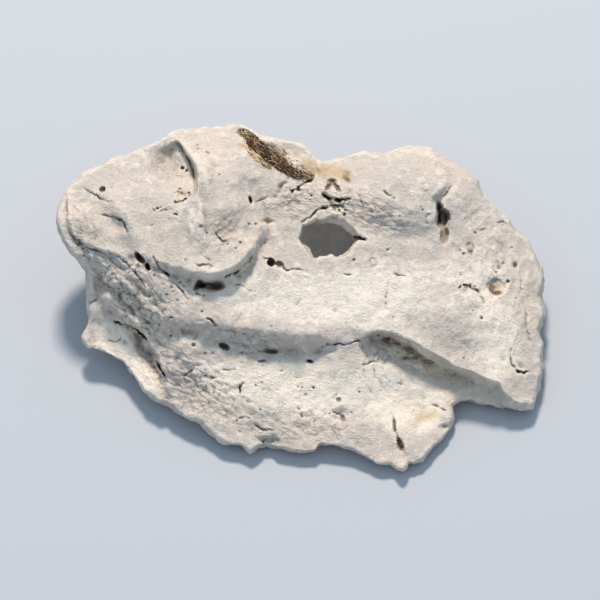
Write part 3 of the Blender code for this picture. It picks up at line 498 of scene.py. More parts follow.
# what is worn and cut into the rock's skin
wear = {
    # worn lumps all over: size and depth
    "lumps": [(15.0, 0.7), (6.5, 0.45), (3.0, 0.24), (1.5, 0.13)],
    # cracks: points (across, up, depth) and half width
    "cracks": [
        ([(-73.3, 37.9, 0.4), (-70, 36.1, 0.9), (-67, 34.2, 0.8), (-64.2, 32.8, 0.3)], 0.4),
        ([(-76.1, 33.3, 0.4), (-75.3, 31.1, 0.6), (-73.9, 29.4, 0.3)], 0.35),
        ([(-66.1, 28.9, 0.4), (-63.9, 28.1, 1.3), (-61.7, 27.8, 1.4), (-59.4, 26.4, 1.4),
          (-58.1, 23.9, 1.0), (-57.7, 21.7, 0.4)], 0.6),
        ([(-78.3, 35, 0.3), (-78.1, 30, 0.7), (-77, 24.4, 0.8), (-75.6, 21.1, 1.0), (-72.8, 19.2, 1.1),
          (-70, 17.2, 1.2), (-67.8, 16.9, 1.0), (-64.4, 16.1, 1.0), (-60.6, 14.4, 1.0),
          (-58.3, 12.8, 1.0), (-55.6, 9.4, 1.0), (-52.8, 6.1, 0.9), (-50.6, 2.8, 0.3)], 0.5),
        ([(-28, 22.8, 0.5), (-27.2, 20.8, 1.1), (-25.8, 19.6, 1.0), (-24.4, 19.4, 0.4)], 0.45),
        ([(-34.7, 11.7, 0.5), (-33.1, 11.3, 0.9), (-30.6, 11.7, 0.9), (-28.1, 10.7, 0.5)], 0.4),
        ([(-33.3, 15.6, 0.3), (-30, 13.1, 0.5)], 0.3),
        ([(-48.9, 14.6, 0.6), (-47.8, 12.2, 1.1), (-45.8, 9.7, 1.0)], 0.5),
        ([(-42, 6, 0.8), (-39.5, 3.0, 0.9), (-37.3, 0.3, 0.5)], 0.4),
        ([(-42.5, 34.9, 0.5), (-41.9, 32.6, 1.1), (-39.4, 32.9, 1.2), (-36.9, 34.8, 1.0)], 0.45),
        ([(-44.5, 37, 0.3), (-43, 35, 0.6)], 0.35), ([(-12, 14.3, 0.8), (-10.3, 13.9, 1.6)], 0.5),
        ([(-6, 11.6, 1.2), (-4.3, 9.8, 1.0), (-1.1, 10.3, 0.7), (3.5, 8.6, 0.3)], 0.4),
        ([(-23.3, 5.6, 0.3), (-18.9, 4.6, 0.6), (-16.1, 2.5, 0.3)], 0.3),
        ([(-25, 7.6, 1.0), (-22, 9.0, 1.6), (-19.5, 10.6, 1.6), (-17, 13, 1.2), (-15, 16.5, 0.4)], 0.6),
        ([(-41.5, 52.6, 0.5), (-40, 51, 1.0), (-37.3, 47.5, 1.3), (-35.6, 43, 1.2),
          (-35.6, 39, 0.4)], 0.6),
        ([(0.7, 26.2, 0.6), (3.5, 27.9, 1.8), (6, 30, 2.0), (7.8, 31, 1.6), (9, 30.6, 0.4)], 0.45),
        ([(7.8, 35.3, 1.2), (10.2, 34, 3.2), (13, 33.4, 3.6), (16.3, 33.7, 1.4)], 0.9),
        ([(4.1, 41.8, 1.6), (3.9, 40.2, 1.8), (2.2, 39.8, 1.6), (0.4, 38.8, 1.6)], 0.5),
        ([(-0.2, 38.3, 1.6), (-1.1, 37.2, 1.4)], 0.6), ([(-2.1, 37, 1.4), (-3, 35.9, 1.4)], 0.6),
        ([(-4, 40.5, 0.5), (-6.5, 38, 1.0), (-8, 35, 0.5)], 1.2),
        ([(10.7, 40, 0.9), (9.6, 38, 0.8), (8.5, 36.3, 0.5)], 0.8),
        ([(10.9, 40, 0.9), (12.2, 38.2, 0.9), (13.2, 36.4, 0.5)], 0.9),
        ([(28.4, 36.1, 1.2), (30.3, 34.7, 1.4)], 0.55),
        ([(11.7, 31.7, 0.5), (14, 31.7, 0.9), (15, 31, 0.5)], 0.4),
        ([(18, 21.2, 2.5), (20, 20.9, 3.0), (21.9, 20.1, 1.5)], 0.9),
        ([(42, 27.7, 0.7), (43.5, 28.9, 0.6)], 0.4),
        ([(74.3, 6.7, 0.4), (74, 4.2, 0.9), (75.3, 1.8, 0.4)], 0.5),
        ([(59, 1.3, 0.5), (60.7, 0.9, 1.0), (61.9, -1.3, 0.6)], 0.5),
        ([(54.5, -19.2, 0.8), (55.1, -19.6, 0.8)], 0.45),
        ([(70.6, -16.3, 0.4), (70.9, -20.9, 1.3), (72.7, -23.8, 2.6), (74.5, -24.2, 2.6),
          (76.3, -23.8, 0.8)], 0.7),
        ([(75.3, -0.3, 0.5), (76, -10.3, 0.6), (78.3, -15.7, 0.3)], 0.6),
        ([(14.7, 8.3, 0.5), (17, 8.2, 0.8)], 0.35), ([(31.7, 8.4, 0.7), (34.7, 8.2, 0.6)], 0.4),
        ([(-38.7, -25, 0.4), (-37, -24.2, 1.1), (-36.1, -23.4, 0.8)], 0.4),
        ([(-20.5, -17.5, 0.6), (-18, -17.7, 0.9), (-15.5, -17.7, 0.6)], 0.4),
        ([(-70, -1.2, 1.5), (-68.2, 0.4, 0.8)], 0.6),
        ([(-19, -27.7, 0.5), (-20.1, -29.3, 1.2), (-20, -31.4, 0.9)], 0.45),
        ([(-19.7, -39.4, 0.8), (-17, -39.3, 0.8)], 0.5),
        ([(-15.3, -41.3, 0.8), (-12.3, -43, 1.2), (-9.3, -43.3, 0.6)], 0.6),
        ([(-0.7, -36, 0.5), (0.7, -38.7, 0.9)], 0.45),
        ([(11, -37.4, 0.6), (13, -37.9, 0.9), (14.6, -39, 0.9), (15, -40.2, 0.5)], 0.5),
        ([(20.8, -21.8, 0.5), (23.5, -20.7, 1.1), (26, -20.4, 0.7)], 0.45),
        ([(7.2, -15.6, 0.7), (8.9, -14.7, 1.0), (15.8, -14.6, 1.0), (20, -13.4, 0.9),
          (24, -11.6, 0.5)], 0.5),
        ([(44.3, -35, 0.4), (46, -35.6, 0.9), (48, -37, 0.6)], 0.6),
        ([(31.0, -38.6, 0.3), (31.3, -41, 1.2), (31.9, -44, 0.9), (32.6, -46.5, 0.4)], 0.55),
        ([(53.2, 4.2, 0.6), (54.6, 5.2, 1.2), (56.4, 4.7, 1.0), (57.6, 3.5, 0.7), (59.3, 3.2, 1.0),
          (60.8, 1.5, 0.4)], 0.5),
        ([(47.3, 33.4, 0.4), (48.8, 35.2, 0.7), (50.2, 37.4, 0.5), (52, 39.2, 0.2)], 0.5),
        ([(66.0, 25.8, 0.4), (67.5, 26.3, 0.7), (69.2, 25.4, 0.4)], 0.4),
        ([(-31.7, -25, 0.7), (-29, -25.7, 1.1), (-27.5, -26.2, 0.5)], 0.45),
        ([(-25.3, -23.2, 0.5), (-21.5, -23.3, 0.6)], 0.4),
        ([(30.6, 7.2, 0.2), (28.9, 4.4, 0.4), (28.6, -2.2, 0.4), (30.8, -6.5, 0.4)], 0.35),
        ([(0, 2.3, 0.2), (0, 0, 0.5), (-1.4, -1.7, 0.2)], 0.3),
        ([(-62.6, -7, 0.4), (-61.6, -7.4, 1.4), (-58, -8.6, 0.8), (-56.4, -9.2, 1.6),
          (-54.4, -10.3, 2.6), (-51.9, -12.5, 2.6), (-51.1, -14.4, 0.4), (-49.9, -17.6, 0.1),
          (-48.5, -20, 0.4), (-47.1, -22.3, 2.6), (-45.6, -24.3, 1.8), (-44, -27.5, 0.3)], 0.8),
        ([(26.9, -15.7, 0.3), (24.3, -19.7, 0.4), (24.9, -25.5, 0.4), (28.4, -30.1, 0.1)], 0.6),
        ([(30.1, -18.6, 0.3), (27.6, -21.5, 0.4), (28.1, -25.5, 0.4), (31.3, -28.4, 0.1)], 0.5),
        ([(22.5, -18, 0.2), (21.2, -23, 0.4), (22.5, -29, 0.3), (26.5, -34, 0.1)], 0.5),
        ([(-31, -6, 0.6), (-29.5, -7, 1.6), (-27.9, -8.4, 1.2)], 0.6),
        ([(-64.3, -13.3, 0.3), (-61.6, -14, 0.6), (-60.1, -12.9, 0.5)], 0.4),
        ([(-62, 9, 0.2), (-57, 3, 0.5), (-52, -3.5, 0.3)], 0.45),
        ([(-10.7, 34.7, 0.4), (-13, 33.3, 0.6), (-15.3, 33.1, 0.7)], 0.4),
    ],
    # pits: across, up, half width, half height, turn, depth
    "pits": [
        (-41.4, 28.7, 1.0, 0.45, -25, 1.6), (-45, 30.3, 0.9, 0.4, 0, 0.7),
        (-49.5, 25.0, 0.7, 0.3, 20, 0.8), (-16.7, 33.2, 0.9, 1.9, 14, 2.4),
        (-34.3, 51, 0.5, 0.5, 0, 0.7), (-30.9, 49.3, 0.8, 0.7, 0, 0.9), (-27.3, 42, 0.7, 0.5, 0, 0.8),
        (-24.3, 39.7, 0.5, 0.5, 0, 0.6), (-39.5, 44.3, 1.0, 0.7, 20, 1.8),
        (-38.0, 43.4, 0.8, 0.7, 20, 1.6), (-39.5, 35.3, 3.2, 2.4, 20, 0.9),
        (-31.2, 22.2, 0.6, 0.4, 0, 0.9), (-14.7, 25.3, 0.6, 0.5, 0, 0.8),
        (-0.5, 36.9, 0.8, 0.6, 0, 1.8), (-2.8, 36.3, 0.6, 0.5, 0, 1.3), (13.2, 29.7, 0.6, 0.6, 0, 1.4),
        (14.8, 28.6, 0.6, 0.6, 0, 1.2), (15.2, 30.1, 0.5, 0.5, 0, 1.2), (11.8, 30.3, 0.5, 0.4, 0, 0.9),
        (40.3, 31.3, 0.6, 0.4, 0, 0.8), (18, 13.7, 0.6, 0.6, 0, 1.2), (29.3, 17, 0.6, 0.6, 0, 0.9),
        (53.7, 17, 0.5, 0.5, 0, 0.7), (69.8, 6.2, 0.9, 0.8, 0, 1.2), (60.3, -6.2, 0.8, 0.5, -30, 1.3),
        (-31.3, -25.3, 0.5, 0.4, 0, 1.2), (-24.3, -16.6, 0.6, 0.5, 0, 1.2),
        (-31.5, -17.7, 0.5, 0.4, 0, 1.1), (-12.8, -20.4, 2.2, 0.7, 0, 1.2),
        (4.7, -29.3, 0.6, 0.6, 0, 1.2), (-12.3, -47, 0.7, 0.5, 0, 1.0),
        (1.7, -31.5, 0.6, 0.4, -20, 0.9), (11.3, -32.2, 0.7, 0.4, -10, 0.8),
        (19.6, -30.6, 0.5, 0.5, 0, 0.9), (26, -19.7, 0.5, 0.4, 0, 0.9), (33.3, -28, 1.2, 0.7, 30, 0.5),
        (-9.7, -8.7, 0.4, 0.4, 0, 0.5), (61.5, 23.3, 1.4, 1.2, 0, 0.6), (57.6, -3.6, 0.4, 0.4, 0, 0.6),
        (55.0, 5.0, 0.6, 0.5, 0, 1.1), (56.8, 4.9, 0.5, 0.5, 0, 1.0), (53.6, 4.2, 0.5, 0.5, 0, 1.0),
        (58.3, 4.0, 0.5, 0.5, 0, 0.9), (58.8, -3.6, 2.2, 2.0, 0, 0.5), (68, 25.2, 0.9, 0.6, -30, 0.8),
        (-12.7, -13.4, 0.8, 0.5, 20, 0.8), (-57.5, -22.5, 0.6, 0.5, 0, 0.7),
        (-38, 13.3, 0.6, 0.4, -40, 0.8), (29, -13.2, 2.2, 1.0, 20, 1.2),
        (33, -14.6, 1.6, 0.8, -20, 1.0), (38, -19.6, 2.4, 0.9, -25, 0.9),
    ],
    # ring scars: across, up, radius, half width, depth
    "rings": [
        (-11.4, -31.7, 2.0, 0.3, 0.2), (24.4, 12.5, 1.2, 0.4, 0.35), (-34.2, 50.8, 1.4, 0.5, 0.5),
        (-31, 49.4, 0.9, 0.4, 0.3), (55.7, -1.5, 1.8, 0.35, 0.2), (42, 38, 1.5, 0.4, 0.3),
        (-55, 43, 3.5, 0.5, 0.25),
    ],
    # pin holes strewn over ellipses: across, up, half width, half height, turn, how many
    "pinHoles": [
        (-18, -22, 26, 6, -8, 14), (-40, 35, 3.0, 2.2, 20, 16), (-37, 0, 9, 5, -30, 12),
        (63, 10, 13, 14, 0, 16), (12, -36, 9, 6, 0, 10), (-25, 22, 11, 7, 0, 8), (5, 38, 10, 5, 0, 10),
        (30, 28, 18, 7, -10, 8), (33, -15, 9, 3, -25, 12), (-52, -2, 14, 8, -40, 9),
        (13, 30, 6, 2.5, -10, 14), (-10, -42, 20, 6, -8, 14), (-47.5, 31, 1.8, 1.8, 0, 8),
        (-70, 15, 11, 4, -30, 14), (-48, 9, 10, 4, -30, 10), (0, 5, 70, 40, 0, 12),
    ],
    "pinHoleSize": (0.16, 0.42),
    "pinHoleDepth": (0.4, 1.4),
    "pinHoleStretch": 1.6,         # how much wider than high
    "crackWaves": 2.4,             # length of the waves that make a crack shallower here and there
    "crackShares": (0.15, 1.3),    # least and most of its depth
    "pitWall": 0.6,                # how much of a pit its wall takes
    "cutStray": (0.42, 1.2, 21),   # how far the edges of all cuts stray, over what size; seed
    "pocketWear": 0.15,            # how much of the wear there is inside the pocket
    # chips all over: size and depth; how much of them there is on the face, and where there is
    # more: across, up, half width, half height, turn, how much
    "chips": [(6.5, 1.0), (2.7, 0.55), (1.4, 0.26)],
    "even": 0.3,
    "mostRough": 1.2,
    "chipBend": 0.25,              # how far the cells of chips are bent, as a part of their size
    "flakeStray": (0.4, 1.6),      # how far flakes stray and over what size, as parts of their width
    "rough": [
        (-55, 2, 22, 13, -45, 0.6), (-36, -28, 22, 14, -35, 0.6), (0, -38, 42, 14, 0, 0.6),
        (25, 32, 24, 10, -18, 0.6), (0, 33, 12, 9, 0, 0.5), (62, 10, 19, 26, 0, 0.5),
        (38, -18, 18, 6, -28, 0.6), (-75, 22, 8, 9, 0, 0.3), (-24, 22, 12, 10, 0, 0.5),
        (-43, 34, 5, 4, 0, 1.0), (-12, 20, 5, 10, 0, 0.4), (-18, -16, 30, 5, -8, 0.5),
    ],
    # flakes drawn out one way over an ellipse: across, up, half width, half height, turn of
    # the ellipse, turn of the flakes, length, width, depth (below zero for cushions)
    "flakes": [
        (-56, 2, 24, 13, -45, -42, 6.5, 2.8, -1.7), (-54, -2, 22, 11, -45, -50, 3.2, 1.4, -1.3),
        (-38, -28, 24, 13, -38, -38, 6, 2.6, -1.3), (-32, -30, 26, 13, -30, -25, 3.2, 1.4, -1.0),
        (-25, -11, 26, 6, -12, -15, 6, 2.0, -0.8), (22, 31, 27, 9, -18, -24, 6, 2.2, -0.9),
        (20, 30, 24, 8, -18, -5, 3.0, 1.3, -0.7), (-3, 32, 10, 8, 0, -20, 4.0, 1.8, -0.8),
        (-8, -41, 28, 8, -8, -32, 4, 2.2, -1.0), (12, -40, 18, 8, 0, 30, 3.4, 1.8, -0.7),
        (36, -18, 19, 6, -28, -28, 4, 1.8, -1.0), (62, 27, 12, 9, -40, 40, 5, 2.0, 0.8),
        (-73, 26, 7, 11, 0, -62, 5, 1.8, -0.7), (70, 0, 12, 26, 0, 80, 6, 2.2, 0.8),
        (-24, 22, 10, 9, 0, 40, 2.6, 1.5, 0.9), (-35, 25, 4, 8, 8, 84, 8, 2.6, -1.6),
        (-62, -12, 12, 8, -20, -30, 5, 2.2, -0.7), (-70, 15, 12, 5, -30, -35, 3.4, 1.7, -0.8),
        (-46, 10, 13, 5, -30, -40, 3.4, 1.7, -0.8), (-42, 46, 9, 9, 0, 60, 3.0, 1.6, 0.5),
    ],
}


def near(across, up, spot, reach):
    # true in a square about a spot
    return (np.abs(across - spot[0]) < reach) & (np.abs(up - spot[1]) < reach)


def crackDepth(across, up):
    # a cut along each line, deepest in its middle and easing out to its half width, and
    # shallower here and there
    depth = np.zeros(across.shape)
    for line, halfWidth in wear["cracks"]:
        p = np.array(line)[:, :2]
        low, high = p.min(axis=0) - halfWidth, p.max(axis=0) + halfWidth
        at = (across > low[0]) & (across < high[0]) & (up > low[1]) & (up < high[1])
        distance, cut = alongLine(line, across[at], up[at])
        depth[at] = np.maximum(depth[at], cut * (1.0 - ease(np.abs(distance) / halfWidth)))
    flat = np.stack([across, up, np.zeros(across.shape)], axis=1)
    return depth * np.clip(0.9 + 1.1 * waveNoise(flat, wear["crackWaves"], 25), *wear["crackShares"])


def pitDepth(across, up):
    # pits with a steep top and a floor that climbs out, then ring scars
    depth = np.zeros(across.shape)
    for spot in wear["pits"]:
        at = near(across, up, spot, 1.0 + max(spot[2:4]))
        inside = ease((1.0 - inEllipse(spot, across[at], up[at])) / wear["pitWall"])
        depth[at] += spot[5] * inside * undercut(spot, up[at])
    for x, y, radius, halfWidth, cut in wear["rings"]:
        at = near(across, up, (x, y), radius + halfWidth)
        off = np.abs(np.hypot(across[at] - x, up[at] - y) - radius)
        depth[at] += cut * (1.0 - ease(off / halfWidth))
    return depth


def pinHoleDepth(across, up):
    # small pits strewn at random in their ellipses
    random = np.random.default_rng(7)
    depth = np.zeros(across.shape)
    stretch = wear["pinHoleStretch"]
    for x, y, halfWidth, halfHeight, turn, count in wear["pinHoles"]:
        angle, reach = random.uniform(0, 2 * math.pi, count), np.sqrt(random.uniform(0, 1, count))
        along, off = halfWidth * reach * np.cos(angle), halfHeight * reach * np.sin(angle)
        cos, sin = cosSin(turn)
        size = random.uniform(*wear["pinHoleSize"], count)
        deep = random.uniform(*wear["pinHoleDepth"], count)
        for a, b, r, d in zip(x + along * cos - off * sin, y + along * sin + off * cos, size, deep):
            at = near(across, up, (a, b), stretch * r)
            depth[at] += d * (1.0 - ease(np.hypot((across[at] - a) / stretch, up[at] - b) / r))
    return depth


def chipHeight(points, across, up, front):
    # bowls in the stone's own space, deeper in the rough places, and drawn-out flakes on the face
    rough = sum((1.0 - ease(inEllipse(spot, across, up))) * spot[5] for spot in wear["rough"])
    weight = 1.0 + front * (np.minimum(wear["even"] + rough, wear["mostRough"]) - 1.0)
    height = np.zeros(across.shape)
    for k, (size, depth) in enumerate(wear["chips"]):
        bent = points / size + wear["chipBend"] * waveNoise(points, 2.0 * size, 30 + k)[:, None]
        height += weight * depth * scallops(bent, 40 + k)
    reach, size = wear["flakeStray"]
    for k, (*spot, turn, length, width, depth) in enumerate(wear["flakes"]):
        part = front * (1.0 - ease(inEllipse(spot, across, up) ** 2))
        at = part > 0.0
        cos, sin = cosSin(turn)
        a, b = ragged(across[at], up[at], reach * width, size * width, 60 + k)
        cells = np.stack([(a * cos + b * sin) / length, (b * cos - a * sin) / width], axis=1)
        height[at] += part[at] * depth * scallops(cells + 7.3 * k, 80 + k)
    return height


def inPocket(points):
    # below 1 inside the pocket's hollow
    centre = np.array(toWorld(*rock["pocketCentre"]))
    return np.linalg.norm((points - centre) / np.array(rock["pocketRadii"]), axis=1)


def readSkin(mesh):
    # points, normals and places on the face, and 1 where the surface looks along the line of
    # sight and is not inside the pocket
    points = readVectors(mesh.vertices, "co") / mm
    normals = readVectors(mesh.vertex_normals, "vector")
    looks = normals[:, 2] * math.sin(lean) - normals[:, 1] * math.cos(lean)
    front = ease(looks / 0.25) * ease((inPocket(points) - 1.0) / 0.12)
    return (points, normals, *toFace(points), front)


def cutDepth(across, up):
    # cracks, pits and pin holes together, their edges strayed by small waves
    across, up = ragged(across, up, *wear["cutStray"])
    return crackDepth(across, up) + pitDepth(across, up) + pinHoleDepth(across, up)


def wearDown(piece):
    # chips, flakes and lumps push the skin along its normals, and cuts sink it down the line
    # of sight
    points, normals, across, up, front = readSkin(piece.data)
    inside = wear["pocketWear"]
    smooth = ease((inPocket(points) - 0.97) / 0.15) * (1.0 - inside) + inside
    push = chipHeight(points, across, up, front)
    for k, (size, depth) in enumerate(wear["lumps"]):
        push += depth * waveNoise(points + 100.0, size, 10 + k)
    points = points + normals * (push * smooth)[:, None]
    sink = front * cutDepth(across, up)
    points[:, 1] += sink / math.tan(lean)
    points[:, 2] -= sink
    points[:, 2] = np.maximum(points[:, 2], 0.0)
    piece.data.vertices.foreach_set("co", (points * mm).astype(np.float32).ravel())
    piece.data.update()
    print("rock: worn, deepest cut", round(float(sink.max()), 2), "mm")
    # the sides and underneath are thinned first, so that the face keeps its finer grain
    away = piece.vertex_groups.new(name="away")
    away.add(np.flatnonzero(front < 0.5).tolist(), 1.0, "REPLACE")
    share = (front > 0.5).mean() + rock["awayShare"] * (front < 0.5).mean()
    reshape(piece, "DECIMATE", ratio=share, vertex_group="away")
    triangles = sum(len(p.vertices) - 2 for p in piece.data.polygons)
    reshape(piece, "DECIMATE", ratio=rock["mostTriangles"] / triangles)
    piece.data.shade_smooth()
    print("rock: finished with", len(piece.data.polygons), "faces")


def curvature(mesh, points, normals, rounds):
    # how far each point lies below the mean of its neighbours, smoothed a few times
    ends = np.empty(len(mesh.edges) * 2, dtype=np.int32)
    mesh.edges.foreach_get("vertices", ends)
    a, b = ends.reshape(-1, 2).T
    count = np.bincount(a, minlength=len(points)) + np.bincount(b, minlength=len(points))
    count = np.maximum(count, 1)

    def neighbours(value):
        return (np.bincount(a, value[b], len(points)) + np.bincount(b, value[a], len(points))) / count

    mean = np.stack([neighbours(points[:, k]) for k in range(3)], axis=1)
    hollow = ((mean - points) * normals).sum(axis=1)
    for _ in range(rounds):
        hollow = 0.5 * hollow + 0.5 * neighbours(hollow)
    return hollow


def setAttribute(mesh, name, values):
    attribute = mesh.attributes.new(name, "FLOAT", "POINT")
    attribute.data.foreach_set("value", np.clip(values, 0.0, 1.0).astype(np.float32))


